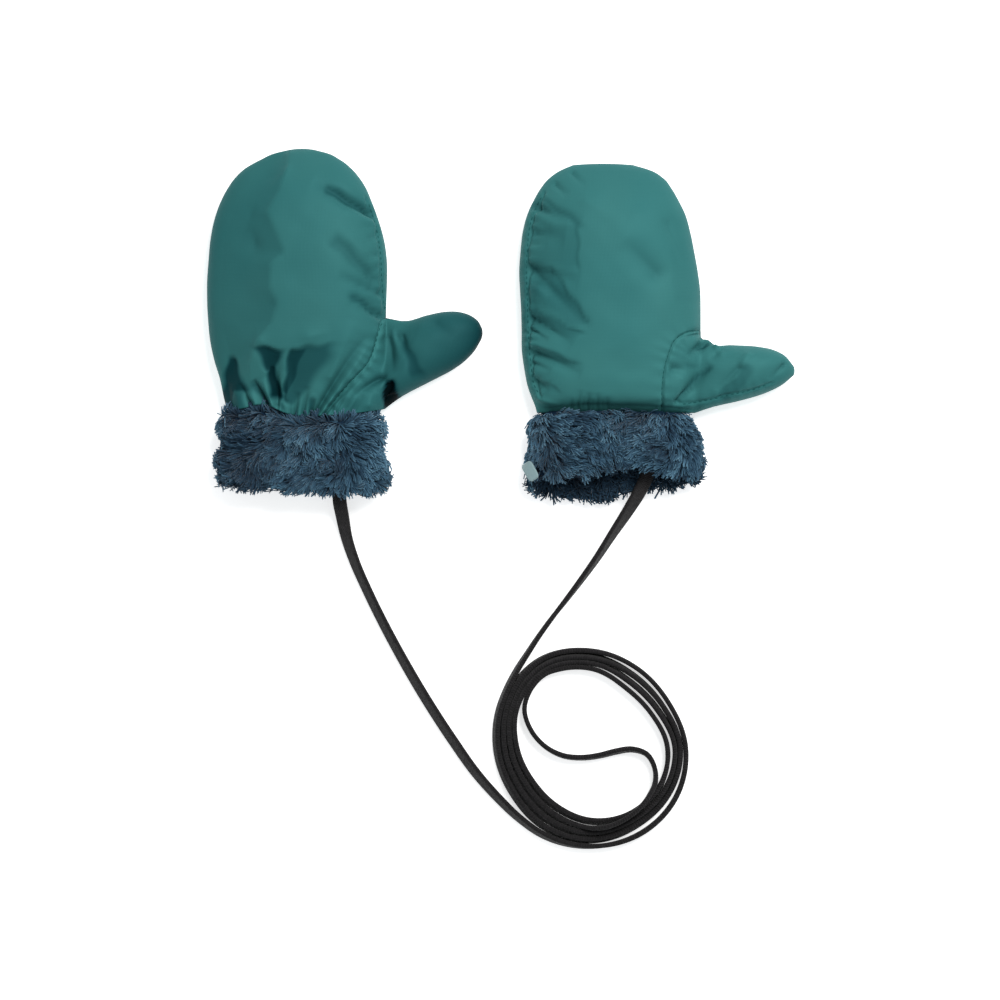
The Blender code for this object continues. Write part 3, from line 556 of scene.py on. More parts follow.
HandRow = namedtuple("HandRow", "y left right crown")
LEFT_HAND = listed(HandRow, [
    (0, -36.6, 36.3, 21), (4.6, -37.7, 36.4, 21.6), (13.8, -39.6, 36.6, 23.5), (23, -42.3, 36.8, 26),
    (32.2, -44.2, 36.8, 27.6), (42.3, -45.1, 36.8, 28.4), (51, -45.5, 37, 28.6), (60, -45.5, 37.3, 28.5),
    (69, -44.8, 37.2, 28.3), (78.2, -44, 35.9, 27.8), (87.4, -42.2, 33.3, 27), (96.6, -38.9, 29.9, 26),
    (102, -36, 27.6, 25.4), (107, -32.4, 24.4, 24.6), (111.5, -27.4, 20.4, 23.6),
    (115.3, -20.6, 15.4, 22.6), (118.2, -14, 9.6, 21.6), (119.6, -8, 4.2, 21),
])
RIGHT_HAND = listed(HandRow, [
    (0, -36.2, 36.5, 19.5), (3, -37, 36.8, 22), (6.5, -38.4, 37.2, 24), (12, -40.4, 37.8, 25.8),
    (20, -42, 38.5, 27), (29, -43.2, 39, 27.9), (37.7, -43.3, 39.1, 28.3), (47, -43.5, 39.1, 28.5),
    (56, -44, 38.9, 28.5), (65, -44.4, 37.8, 28.3), (74, -43.8, 36.2, 27.9), (83, -42.8, 34.4, 27.2),
    (91.5, -40.6, 32, 26.2), (98, -37.6, 28.8, 25.2), (103.5, -34.4, 25.6, 24.2), (108, -30.6, 22, 23.2),
    (111.8, -25, 15.6, 22.2), (114.1, -19.6, 8, 21.4),
])

# Seams between hand and thumb, from the wrist up to the crotch.
LEFT_BACK_SEAM = [(8.5, 0), (20.4, 12.5), (29.9, 22.6), (32.9, 31), (34.8, 38), (36.8, 42.3)]
LEFT_PALM_SEAM = [(21.2, 0), (21.4, 12), (23.2, 24), (27.2, 33.6), (31.6, 38.8), (36.8, 42.3)]
RIGHT_PALM_SEAM = [(21.4, 0), (21.2, 12), (23.4, 24.4), (27.6, 33.4), (32.4, 36.4), (39.1, 37.7)]
RIGHT_BACK_SEAM = [(10, 0), (21.4, 12), (30.6, 20.6), (34.6, 28), (37, 33.6), (39.1, 37.7)]

# The thumb's edges: the lower one from where it leaves the wrist, the upper one from the crotch.
LEFT_THUMB_LOWER = [
    (36.3, 0), (44.6, 6), (52.4, 10.2), (60.1, 14.2), (66.6, 17.7), (73.1, 22.4), (77.4, 27),
    (80.6, 32.4),
]
LEFT_THUMB_UPPER = [
    (36.8, 42.3), (46, 41), (55.7, 43.6), (64, 45.2), (71, 45), (75.8, 43.4), (79.2, 40.8), (81, 37.4),
]
RIGHT_THUMB_LOWER = [(36.5, 0), (44.2, 2.6), (57.5, 5.7), (69.5, 9.4), (76.8, 13.1), (82, 17.4)]
RIGHT_THUMB_UPPER = [
    (39.1, 37.7), (39.6, 34.2), (42.6, 33.6), (44.8, 31.7), (53.4, 31.3), (66.5, 30.4), (72.2, 29.2),
    (77.8, 26.4), (82, 21.4),
]
ThumbRow = namedtuple("ThumbRow", "along rise")
THUMB_ROWS = listed(ThumbRow, [
    (0, 0), (0.14, 5), (0.3, 9.5), (0.48, 11.2), (0.66, 10.8), (0.82, 9.6), (1, 8),
])

CuffRow = namedtuple("CuffRow", "along left right top")
LEFT_CUFF = listed(CuffRow, [
    (0, -40.6, 38, 23.5), (0.15, -42, 37.6, 25.5), (0.45, -41.6, 37.8, 26.5), (0.75, -43, 39.6, 27),
    (1, -42.4, 39.6, 26),
])
RIGHT_CUFF = listed(CuffRow, [
    (0, -39, 37, 23), (0.15, -42.6, 37, 25.5), (0.4, -41.8, 41, 27), (0.7, -43, 42.2, 27.5),
    (1, -43.6, 41, 26.5),
])
# The mouth's edges, (x, y), of the cuff's upper and lower walls.
LEFT_LIP_UPPER = [
    (-44, -33), (-37.7, -36.3), (-26, -38), (-6, -40), (10, -39.6), (28, -41), (36, -38), (41, -34),
]
LEFT_LIP_LOWER = [(-44, -33), (-37.7, -35), (-26, -36.5), (-6, -38), (28, -38.5), (41, -34)]
RIGHT_LIP_UPPER = [
    (-45, -32.5), (-30, -31.7), (-16, -30.8), (-6, -26.7), (2, -25.8), (12, -25.8), (19, -27),
    (28, -30.6), (42, -30.8),
]
RIGHT_LIP_LOWER = [
    (-45, -32.5), (-38.2, -36.3), (-28.5, -39.1), (-16.6, -41.7), (-7.8, -41.2), (5.5, -37.2),
    (20.2, -34.4), (28, -33.2), (42, -31.2),
]


def swell_of(offset):
    """The square of a padded section's height at an offset from its middle: 1 there, 0 at its edge."""
    return np.clip(1 - np.abs(offset) ** DOME_POWER, 0, 1)


def joined(first, second):
    """Two swellings run into one, with no crease where either of them ends."""
    return (first**JOIN_POWER + second**JOIN_POWER) ** (1 / JOIN_POWER)


def rounded(fill):
    """A quarter round: 0 at no fill, and level from full on."""
    fill = np.clip(fill, 0, 1)
    return np.sqrt(fill * (2 - fill))


def hand_fill(hand, x, y):
    """How full the hand is at (x, y): the rise of its crown, and 1 in the middle to 0 at its edges."""
    left, right = by(hand, "left", y), by(hand, "right", y)
    across = (2 * x - left - right) / (right - left)
    tip = np.clip((y - hand[-1].y) / TIP_LENGTH + 1, 0, 1)
    return by(hand, "crown", y) - SEAM_HEIGHT, swell_of(across) * swell_of(tip)


def upper_height(hand, x, y, thumb_rise, thumb_fill):
    rise, fill = hand_fill(hand, x, y)
    swell = joined(rise * np.sqrt(fill), thumb_rise * np.sqrt(thumb_fill))
    return SEAM_HEIGHT + SEAM_GAP / 2 + swell


def lower_height(hand, x, y, thumb_rise, thumb_fill):
    _, fill = hand_fill(hand, x, y)
    depth = joined(rounded(fill / SOLE_ROUND), rounded(thumb_fill) * rounded(thumb_rise / SEAM_HEIGHT))
    return (SEAM_HEIGHT - SEAM_GAP / 2) * (1 - np.minimum(depth, 1))


def wrist_sag(x, sag):
    """The wrist seam hangs lower in its middle than at the sides, and rises a little on one side."""
    middle, side, rise = sag
    hang = blend(middle, side, np.minimum(np.abs(x) / HALF_WRIST, 1) ** 2)
    return hang + rise * np.exp(-(((x - RISE_AT) / RISE_WIDTH) ** 2))


def hand_sag(x, y, sag):
    """How far the hand's cloth follows its wrist seam."""
    return wrist_sag(x, sag) * np.clip(1 - y / WRIST_BAND, 0, 1)


def cuff_place(mitten, inset, across, above, along):
    """Places on the cuff: across from -1 to 1, on its upper or lower wall, along from wrist to mouth."""
    left = by(mitten.cuff, "left", along) + inset
    right = by(mitten.cuff, "right", along) - inset
    top = by(mitten.cuff, "top", along) - inset
    x = (left + right) / 2 + (right - left) / 2 * across
    crown = np.sqrt(np.maximum(0, 1 - np.abs(across) ** CUFF_POWER))
    upper = CUFF_SEAM_HEIGHT + (top - CUFF_SEAM_HEIGHT) * crown
    lower = CUFF_SEAM_HEIGHT - (CUFF_SEAM_HEIGHT - inset) * rounded((1 - across * across) / CUFF_SOLE_ROUND)
    mouths = [np.interp(x, *zip(*lip)) for lip in mitten.lips]
    start = wrist_sag(x, mitten.sag) - SEAM_GAP
    y = start + (np.where(above, *mouths) - start) * along
    return np.stack([x, y, np.where(above, upper, lower)], axis=-1)


# ---------------- how the cloth lies

# Folds run from their deep end to where they die out. A negative depth is a ridge.
Fold = namedtuple("Fold", "deep_x deep_y far_x far_y deep_width far_width depth")
LEFT_BACK_FOLDS = listed(Fold, [
    (-25, 1, -30.4, 11.6, 1, 1.5, 1.8), (-17.4, 1, -23.6, 12.5, 1.1, 1.8, 2.6),
    (-22, 0.6, -25.6, 8, 1.3, 1.8, -1.3), (-12.5, 2, -12.4, 24, 0.9, 2.4, 1.5),
    (-11, 0, -10.6, 18, 1.2, 2, -1.2), (-4.6, 0, -3, 9.5, 0.9, 1.4, 2), (-1, 0, 1.4, 12, 0.9, 1.6, 2.1),
    (2.6, 0, 4.6, 7, 0.7, 1, 1.6), (4.4, 0, 28.4, 33.5, 1.5, 2.8, 3), (6.6, 0, 31, 31, 1.2, 2.2, -1.5),
    (9, 0, 30.5, 20, 1, 1.7, 1.8), (13.6, 0, 19.5, 9.5, 0.8, 1.1, 1.5),
    (17.6, 0, 23.5, 8.6, 0.8, 1.1, 1.5), (21.5, 0, 26.6, 8, 0.8, 1.2, 1.5),
    (34.8, 14.4, 22.5, 7.4, 1.5, 2, 2.4), (29, 3, 31, 9, 3.4, 3.4, -1.6),
    (30.8, 90.2, 4, 104.4, 1.5, 3.6, 2.6), (33, 84, 18, 92, 1.6, 3.4, -0.8),
    (31.4, 59, 13.6, 77, 2.4, 4.6, 1.4), (34.6, 53.4, 15.6, 60.8, 1.2, 2.2, 1.5),
    (34.8, 42.6, 21, 51, 1.5, 2.8, 2.2), (-23, 75, -26, 84, 4, 4, 0.9),
    (37.9, 33, 40.4, 16, 1.3, 2.4, 1.5), (41.8, 33.6, 50.6, 17, 1.4, 4.4, 1.1),
    (40, 36, 44, 22, 1.2, 2.2, -0.8),
])
RIGHT_PALM_FOLDS = listed(Fold, [
    (-38.6, 95, -16.6, 86, 1.6, 4.2, 1.8), (-38, 82, -24, 80, 2.2, 5, 1.6),
    (-40, 66, -17, 60, 1.8, 4, 1.8), (-39, 64, -13, 39, 2, 3.4, 1.4), (-39.6, 43, -20, 31, 1.5, 3.4, 1.9),
    (-38, 27, -16, 17.5, 1.5, 3.2, 1.8), (-37, 13.8, -31, 10, 1.6, 2.6, 1.4), (18, 63, 3, 78, 4, 5, 0.9),
    (-18, 1, -16.6, 10, 1.1, 1.6, 0.7), (-13.4, 1, -12.6, 9, 1.1, 1.6, 0.9),
    (-8.8, 1, -8.6, 8.5, 1.1, 1.6, 0.7), (-4, 1, -4.4, 7, 1.2, 1.8, 0.6), (41.6, 33, 32.6, 25, 1.2, 2, 2),
    (28.6, 4.8, 43, 22, 1.5, 2.4, 2), (56, 20.4, 46, 9.6, 1.8, 3, 1.4),
    (26, 19.6, 31.6, 19.8, 2, 2.6, 1.1),
])
# Finer creases of the thin cloth, which the solids leave out.
LEFT_BACK_CREASES = listed(Fold, [
    (-29.6, 0, -32.2, 13, 1.8, 2.6, -0.6), (-14.6, 1, -19.6, 12.6, 1.5, 2.4, -1.8),
    (-8, 6, -7, 22, 0.9, 2, -0.9), (-6.6, 0, -6.4, 5, 0.7, 0.9, 1), (11.6, 0, 15.6, 6, 0.6, 0.9, 1),
    (15.6, 0, 20.4, 6.6, 0.6, 0.9, 1), (19.6, 0, 24.6, 6, 0.6, 0.9, 0.9),
    (11, 3.4, 22, 14.6, 0.7, 1.2, 1), (14, 4, 26, 14, 0.7, 1.2, -0.8), (-20, 31, -24, 32, 2.6, 3.6, -0.6),
    (2, 33, 12, 35, 3.6, 4, -0.6), (12, 16, 23, 40, 2, 4, -0.9), (30.6, 88.6, 14, 97, 0.9, 2, 0.7),
    (32.6, 80.6, 28.6, 76.4, 0.9, 1.6, 0.7), (32.6, 71, 26.6, 69.6, 0.9, 1.6, 0.7),
    (33.6, 65, 28, 60.6, 0.9, 1.6, 0.7), (33, 49, 27.6, 50, 0.8, 1.4, 0.7),
    (28, 71, 14, 84, 2.2, 3.6, -0.5), (-8, 110, -20, 96, 2.4, 4.4, -0.5), (-25, 90, -33, 72, 3, 4.6, 0.5),
    (-15, 47, -30, 36, 3, 5, 0.5), (44.2, 34, 46.6, 28.6, 0.8, 1.2, 0.8), (60, 40, 68, 33, 3, 4.6, 0.7),
])
RIGHT_PALM_CREASES = listed(Fold, [
    (-37.6, 97, -31, 92, 0.8, 1.4, 0.8), (-39, 88.6, -30.4, 84.8, 0.8, 1.4, 1),
    (-39.4, 78, -32, 76.4, 0.8, 1.4, 0.8), (-39, 60.6, -30, 62, 0.9, 2.2, 0.9),
    (-36, 56.6, -32, 52, 2.4, 3, -0.9), (-40, 51, -32, 48, 0.8, 1.6, 0.8),
    (-40, 38, -31.4, 33, 0.7, 1.4, 0.9), (-39, 22.6, -30, 19, 0.7, 1.6, 0.9),
    (-38.6, 31.6, -20, 24, 1.6, 3, -0.7), (-28, 105, -22, 99, 0.9, 1.8, 0.8),
    (-20, 110, -14, 103, 0.9, 2.2, 0.6), (24, 86, 31, 66, 3, 5, 0.6), (-14, 96, 4, 88, 4, 6, -0.5),
    (-21, 1, -20.2, 6, 0.8, 1.2, 0.5), (-15.6, 1, -14.8, 7, 0.8, 1.2, 0.5),
    (-11.2, 1, -10.6, 5.6, 0.8, 1.2, 0.5), (-6.4, 1, -6.6, 6, 0.8, 1.2, 0.4),
    (-35, 6.6, -26, 2.6, 1.2, 2, -0.8), (38, 36, 31, 34.2, 0.8, 1.4, 0.9),
    (45.6, 30.4, 49, 25.6, 0.8, 1.4, -0.9), (47.6, 28.6, 43, 24, 0.8, 1.4, 0.7),
    (77, 22, 70, 14.4, 1.2, 2.2, 1), (60, 26, 52, 14, 1.8, 3.4, -0.6), (30, 15, 26.6, 4, 2.4, 3.4, -0.7),
])
FOLD_FADE = 0.7
CREASE_POWER = 1.4       # how sharp the folds' valleys are: 2 is round, 1 is a sharp edge
VALLEY_PAINTED_SHADE = 0.13      # shade painted for each millimetre of a valley's depth, up to the limit
VALLEY_LIMIT = 3.0

# Pockets of cloth under the elastic, and hollows between the pulls of the side seams, each with shade painted
# into its colour; those with no depth are painted shade alone. Each has its own width on either side, and is
# level along its length up to an end wall, which may slant.
Dart = namedtuple("Dart", "deep_x deep_y far_x far_y left right far_left far_right depth shade slant")
LEFT_BACK_DARTS = listed(Dart, [
    (-37, 7.4, -35.6, 23.2, 1.2, 11.6, 1.4, 2.2, 1.2, 0.72, 0.25),
    (-37.6, -4, -37, 13, 1.2, 3.8, 1.4, 5.4, 1.4, 0.72, 0),
    (-31, -4, -32, 14, 4, 3.6, 4, 3.6, 0, 0.46, 0),
    (-15.5, 15, -16.4, 27.8, 1.2, 1.6, 6.2, 7, 1.8, 0.7, -0.2),
    (-13, 4, -15.6, 19, 3.2, 4, 1.4, 1.9, 2, 0.78, 0),
    (-18.6, 2, -22.6, 11, 0.9, 0.6, 2.6, 1, 0.8, 0.5, 0),
    (1.6, 0, 3.4, 6.6, 1, 1.2, 0.9, 2.2, 0.9, 0.5, 0),
    (-9.8, 0, -9.9, 4, 0.9, 0.9, 0.7, 0.7, 0.7, 0.5, 0),
    (-9.4, 7, -5.4, 27.6, 0.9, 1.8, 1.4, 6.4, 1.8, 0.68, 0.27),
    (-9.4, 4, -5.4, 27.6, 0.8, 4, 1.4, 18, 1.3, 0.5, 0.28),
    (37.4, -4, 37.2, 13.2, 1.5, 11, 1.3, 2.2, 3, 0.92, 0),
    (30.5, 90.6, 10, 101.6, 1.2, 1, 2.8, 1.6, 1, 0.36, 0),
    (31, 61, 13, 78, 1.4, 1.4, 3.6, 3.2, 0.5, 0.18, 0),
    (34.4, 43.2, 21.6, 51.8, 1, 1, 1.6, 1.4, 0.6, 0.34, 0),
    (43.6, 33, 52, 15, 1, 0.9, 3.4, 3.4, 0.5, 0.26, 0),
])
RIGHT_PALM_DARTS = listed(Dart, [
    (-18.6, 86, -18.2, 65, 0.8, 17, 0.8, 19, 0.7, 0.15, -0.2),
    (-31, 66, -12.6, 39.6, 0.8, 13, 0.8, 6, 0.9, 0.24, -0.8),
    (-34, 98, -16.4, 85.2, 0.8, 0.8, 1.4, 1.8, 0.5, 0.2, 0),
    (-39.6, 47, -17, 35, 1.2, 6, 1.4, 3, 0.7, 0.16, -0.5),
    (-38, 30.4, -18, 20.6, 1.2, 5.4, 1.2, 2.4, 0.7, 0.15, -0.5),
    (-37, 15, -26, 9, 1, 3.6, 1, 1.6, 0.5, 0.14, -0.4),
    (44, 32.4, 38, 29, 0.9, 1.2, 0.7, 0.9, 0.9, 0.5, 0),
    (29.4, 6, 42.4, 21.4, 0.7, 0.8, 0.8, 1.2, 0.8, 0.42, 0),
    (30.6, 21.6, 38, 21.2, 1.2, 1.4, 1, 1, 0.3, 0.15, 0), (46, 6.4, 60, 20.6, 1, 5, 1, 4, 0.6, 0.24, 0),
    (31, 50, 30, 92, 5, 9, 7, 9, 0, 0.06, 0),
])
DART_EASE = 1.1
DART_END_EASE = 0.6      # of the ease, at a dart's end wall
SHALLOW_EASE = 3.0       # and how much more there, the shallower the dart is
DART_SIDE_EASE = 0.7     # of the ease, at a dart's sides
DART_SPREAD = 7.0        # the wider a dart, the softer its sides: by as much again for each such width
DART_EDGE = 2.4
DART_WAVER = 0.5         # how far its outline wavers, along its sides and its end wall
SIDE_WAVE = 2.0
END_WAVE = 1.7

# Where cloth is sewn it sinks, and puckers on both sides of the stitches.
LEFT_SIDE_SEAM = [(36.6, 43.6), (35.6, 52), (35, 61), (34.6, 70), (33.4, 79), (31.2, 88), (28, 97)]
RIGHT_SIDE_SEAM = [
    (-34.4, 7), (-37.6, 13), (-39, 22), (-40, 32), (-40.4, 44), (-40.8, 56), (-41, 66), (-40.6, 76),
    (-39.6, 85), (-37, 93.6), (-33.2, 100.6),
]
RIGHT_THUMB_SEAM = [(28, 3.4), (41, 5.6), (53.4, 8.4), (63.5, 10.8), (71, 13.6)]
RIGHT_WRIST_ROLL = [(-30, -1.6), (-14, -1.2), (4, -1.2), (20, -1.6), (34, -3)]
GROOVE_STEPS = 5         # the points on a seam's curve, for each row of its table
PUCKER_STEP = 5.2
PUCKER_REACH = 3.4
PUCKER_START = 0.8
PUCKER_DRIFT = 1.6       # the puckers aren't even: how far they drift, and over what length
DRIFT_LENGTH = 4.7
SHELL_WAVES = [Waves(20.0, 42.0, 0.13), Waves(8.0, 13.0, 0.03)]

# How the form leans away on the far side of this line, from the fingertips to the wrist, with shade painted
# there too.
LEFT_FLANK = [
    (-7.4, 112), (-11.5, 99), (-16.6, 90), (-12.9, 81.9), (-8.3, 71.3), (-14.7, 66.7), (-15.2, 55.2),
    (-11.5, 48.3), (-14.3, 39.1), (-21.2, 31.3), (-25, 20),
]
FLANK_DROP = 3.0
FLANK_PAINTED_SHADE = 0.2
FLANK_EASE = 11.0
FLANK_EDGE = 2.0         # how wide the painted shade's own edge is
FLANK_ENDS = (-12.0, 6.0)    # it fades in over this stretch about the line's end at the wrist
SHADE_LEFT = 0.6         # of the other painted shades, in the flank's painted shade

Groove = namedtuple("Groove", "path width depth pucker")
Cloth = namedtuple("Cloth", "folds darts grooves flank seed share")


def fold_depth(folds, x, y):
    """How far the cloth sinks at (x, y) below its smooth form, all folds taken together."""
    total = np.zeros_like(x)
    for fold in folds:
        t, side = onto(fold[:2], fold[2:4], x, y)
        side = side / blend(fold.deep_width, fold.far_width, t)
        total += fold.depth * (1 - t) ** FOLD_FADE * np.exp(-(side**CREASE_POWER))
    return total


def across_darts(darts, x, y):
    """For each dart: (the dart, how much of its depth there is at each place, how much of its painted shade).
    """
    for dart in darts:
        run = np.array([dart.far_x - dart.deep_x, dart.far_y - dart.deep_y], float)
        length = math.hypot(*run)
        run /= length
        reach = (x - dart.deep_x) * run[0] + (y - dart.deep_y) * run[1]
        side = run[0] * (y - dart.deep_y) - run[1] * (x - dart.deep_x)
        t = np.clip(reach / length, 0, 1)
        left, right = blend(dart.left, dart.far_left, t), blend(dart.right, dart.far_right, t)
        side = side + DART_WAVER * np.sin(reach / SIDE_WAVE + dart.deep_x)
        over = reach + dart.slant * side + DART_WAVER * np.cos(side / END_WAVE + dart.far_x)
        ease = DART_EASE * (DART_END_EASE + SHALLOW_EASE * math.exp(-dart.depth))
        end = 1 - step_between(length - ease, length + ease, over)
        end = end * step_between(-DART_EASE, 2 * DART_EASE, reach)
        width = np.where(side > 0, left, right)
        ease = DART_EASE * (DART_SIDE_EASE + width / DART_SPREAD)
        even = 1 - step_between(width - ease, width + ease, np.abs(side))
        yield dart, end * np.exp(-((np.abs(side) / width) ** DART_EDGE)), end * even


def dart_depth(darts, x, y):
    """How far the cloth sinks at (x, y) into its darts."""
    total = np.zeros_like(x)
    for dart, deep, _ in across_darts(darts, x, y):
        total = np.maximum(total, dart.depth * deep)
    return total


def painted_crease_shade(cloth, x, y):
    """How much shade is painted into the cloth's colour in its valleys and darts."""
    total = np.clip(fold_depth(cloth.folds, x, y), 0, VALLEY_LIMIT) * VALLEY_PAINTED_SHADE
    for dart, _, even in across_darts(cloth.darts, x, y):
        total = np.maximum(total, dart.shade * even)
    return total


def beside(path, x, y):
    """For each place: its distance from a path and how far along the path it is."""
    line = along_path(path, np.linspace(0, 1, GROOVE_STEPS * len(path)))
    nearest = np.full(x.shape, np.inf)
    reach = np.zeros_like(x)
    before = 0.0
    for start, end in zip(line, line[1:]):
        length = math.hypot(*(end - start))
        t, away = onto(start, end, x, y)
        reach = np.where(away < nearest, before + t * length, reach)
        nearest = np.minimum(nearest, away)
        before += length
    return nearest, reach


def sunk(cloth, x, y):
    """How far a piece of shell sinks at (x, y): folds, darts, seams with their puckers and unevenness."""
    total = fold_depth(cloth.folds, x, y) * cloth.share + dart_depth(cloth.darts, x, y)
    for groove in cloth.grooves:
        away, reach = beside(groove.path, x, y)
        total += groove.depth * np.exp(-((away / groove.width) ** 2))
        beat = np.cos(2 * math.pi * reach / PUCKER_STEP + PUCKER_DRIFT * np.sin(reach / DRIFT_LENGTH))
        start = 1 - np.exp(-((away / PUCKER_START) ** 2))
        total += groove.pucker * beat * start * np.exp(-away / PUCKER_REACH)
    return total + unevenness(x, y, SHELL_WAVES, cloth.seed)


def flank(path, hand, x, y, z):
    """How far the form's flank lies below its round shape, sloping outwards from a ridge, and the shade
    painted on it.
    """
    ridge_x, ridge_y = zip(*path[::-1])
    ridge = np.interp(y, ridge_y, ridge_x)
    share = np.clip((ridge - x) / (ridge - by(hand, "left", y)), 0, 1)
    fade_in, full = FLANK_ENDS
    ends = step_between(path[-1][1] + fade_in, path[-1][1] + full, y)
    lift = np.clip((z - SEAM_HEIGHT) / FLANK_EASE, 0, 1)
    return FLANK_DROP * bow(share) * ends * lift, FLANK_PAINTED_SHADE * step_between(0, FLANK_EDGE, ridge - x) * ends


# ---------------- shells of the hands and thumbs

SHELL_WALL = 2.2
SEAM_EASE = 5.0          # folds come to their full depth over this height from the seam
SEAM_FREE = 20.0         # the panel's columns spread out to the seam over this length below the crotch
THUMB_TIP = 0.6          # where the thumb begins to fall to its tip, as a share of its length
THUMB_FAN = 0.4          # the share of its length over which its columns straighten
TIP_BULGE = 0.6          # how far the fingertips' straight ends are rounded out
TIP_ROUND = 6.0
THUMB_BULGE = 0.08       # the same for the thumbs, as a share of their ends' width
THUMB_ROUND = 0.1
TILT_REACH = 0.02

Wall = namedtuple("Wall", "up seam_z height")
UPPER = Wall(True, SEAM_HEIGHT + SEAM_GAP / 2, upper_height)
LOWER = Wall(False, SEAM_HEIGHT - SEAM_GAP / 2, lower_height)
PanelSize = namedtuple("PanelSize", "along_seam above_seam columns stations")
FINE = PanelSize(66, 66, 150, 88)
COARSE = PanelSize(26, 28, 50, 28)


def outward(grid, wall):
    """Unit normals of a panel's outer points. At the side seam they lie level."""
    along = np.gradient(grid, axis=0)
    across = np.gradient(grid, axis=1)
    fall = np.array([0.0, 0.0, -1.0 if wall.up else 1.0])
    on_seam = np.abs(grid[:, :, 2] - wall.seam_z) < ON_SEAM
    along[-1] = fall
    on_seam[-1] = False
    across[:, 0][on_seam[:, 0]] = -fall
    across[:, -1][on_seam[:, -1]] = fall
    normal = np.cross(across, along) if wall.up else np.cross(along, across)
    normal[grid[:, :, 1] < ON_SEAM, 1] = 0
    return unit(normal)


def hand_tilt(hand, x, y, wall):
    """Unit normals of the hand's form at these places, which both its pieces share along the thumb's seam."""
    none = np.zeros_like(x)
    reach = TILT_REACH
    east = wall.height(hand, x + reach, y, none, none) - wall.height(hand, x - reach, y, none, none)
    north = wall.height(hand, x, y + reach, none, none) - wall.height(hand, x, y - reach, none, none)
    north[y < ON_SEAM] = 0
    normal = unit(np.stack([-east, -north, np.full_like(x, 2 * reach)], axis=-1))
    return normal if wall.up else -normal


def panel(name, grid, on_form, wall, mitten, cloth, shade, material):
    """One piece of shell: a wall of one thickness under the outer points, with all its creases, and the shade
    painted on it.
    """
    rows, columns = grid.shape[:2]
    x, y, z = grid[:, :, 0], grid[:, :, 1], grid[:, :, 2]
    normal = np.where(on_form[:, :, None], hand_tilt(mitten.hand, x, y, wall), outward(grid, wall))
    sink = sunk(cloth, x, y) * np.clip(np.abs(z - wall.seam_z) / SEAM_EASE, 0, 1)
    # Painted shade: darker from the wrist or the thumb's root to its tip, in valleys and darts, and on the
    # flank.
    shade_to_paint = np.linspace(*shade, rows)[:, None] + painted_crease_shade(cloth, x, y)
    if cloth.flank:
        drop, flank_painted_shade = flank(cloth.flank, mitten.hand, x, y, z)
        sink += drop
        shade_to_paint = np.maximum(shade_to_paint, shade_to_paint * SHADE_LEFT + flank_painted_shade)
    if not wall.up:
        sink = np.maximum(sink, 0)
    outer = grid - normal * sink[:, :, None]
    inner = grid - normal * (sink[:, :, None] + SHELL_WALL)
    off_seam = np.abs(z - wall.seam_z) > ON_SEAM
    limit, clear = (np.maximum, SEAM_GAP) if wall.up else (np.minimum, -SEAM_GAP)
    inner[off_seam, 2] = limit(inner[off_seam, 2], wall.seam_z + clear)
    points = np.concatenate([outer.reshape(-1, 3), inner.reshape(-1, 3)])
    points[:, 1] += hand_sag(points[:, 0], points[:, 1], mitten.sag)
    piece = object_from(name, points, wall_faces(rows, columns, not wall.up), material, mitten.place)
    steps = np.linalg.norm(np.diff(outer, axis=1), axis=2)
    across = np.concatenate([np.zeros((rows, 1)), np.cumsum(steps, axis=1)], axis=1)
    across -= across[:, columns // 2, None]
    uv_from(piece, np.tile(across.ravel(), 2), np.tile(y.ravel(), 2))
    point_values(piece.data, "dye", np.tile(np.clip(shade_to_paint, 0, 1).ravel(), 2))
    return piece


def hand_grid(hand, seam, size, wall):
    """A hand panel's outer points, in rows from the wrist to the fingertip."""
    points = along_path(seam, np.linspace(0, 1, size.along_seam))
    edge = points - right_of(points) * SEAM_GAP / 2
    edge[0, 1] = 0
    top = hand[-1].y
    crotch = points[-1][1]
    above = crotch + (top - crotch) * np.sin(np.linspace(0, math.pi / 2, size.above_seam + 1)[1:])
    right = np.concatenate([edge, np.stack([by(hand, "right", above), above], axis=1)])
    level = right[:, 1]
    left = np.stack([by(hand, "left", level), level], axis=1)
    one_end = 1 - np.cos(np.linspace(0, math.pi / 2, size.columns))
    share = blend(one_end, eased(size.columns), step_between(crotch - SEAM_FREE, crotch, level)[:, None])
    flat = blend(left[:, None], right[:, None], share[:, :, None])
    none = np.zeros(share.shape)
    z = wall.height(hand, flat[:, :, 0], flat[:, :, 1], none, none)
    flat[:, :, 1] += TIP_BULGE * step_between(top - TIP_ROUND, top, level)[:, None] * bow(share)
    z[:, 0] = z[-1] = z[size.along_seam - 1:, -1] = wall.seam_z
    return np.concatenate([flat, z[:, :, None]], axis=2)


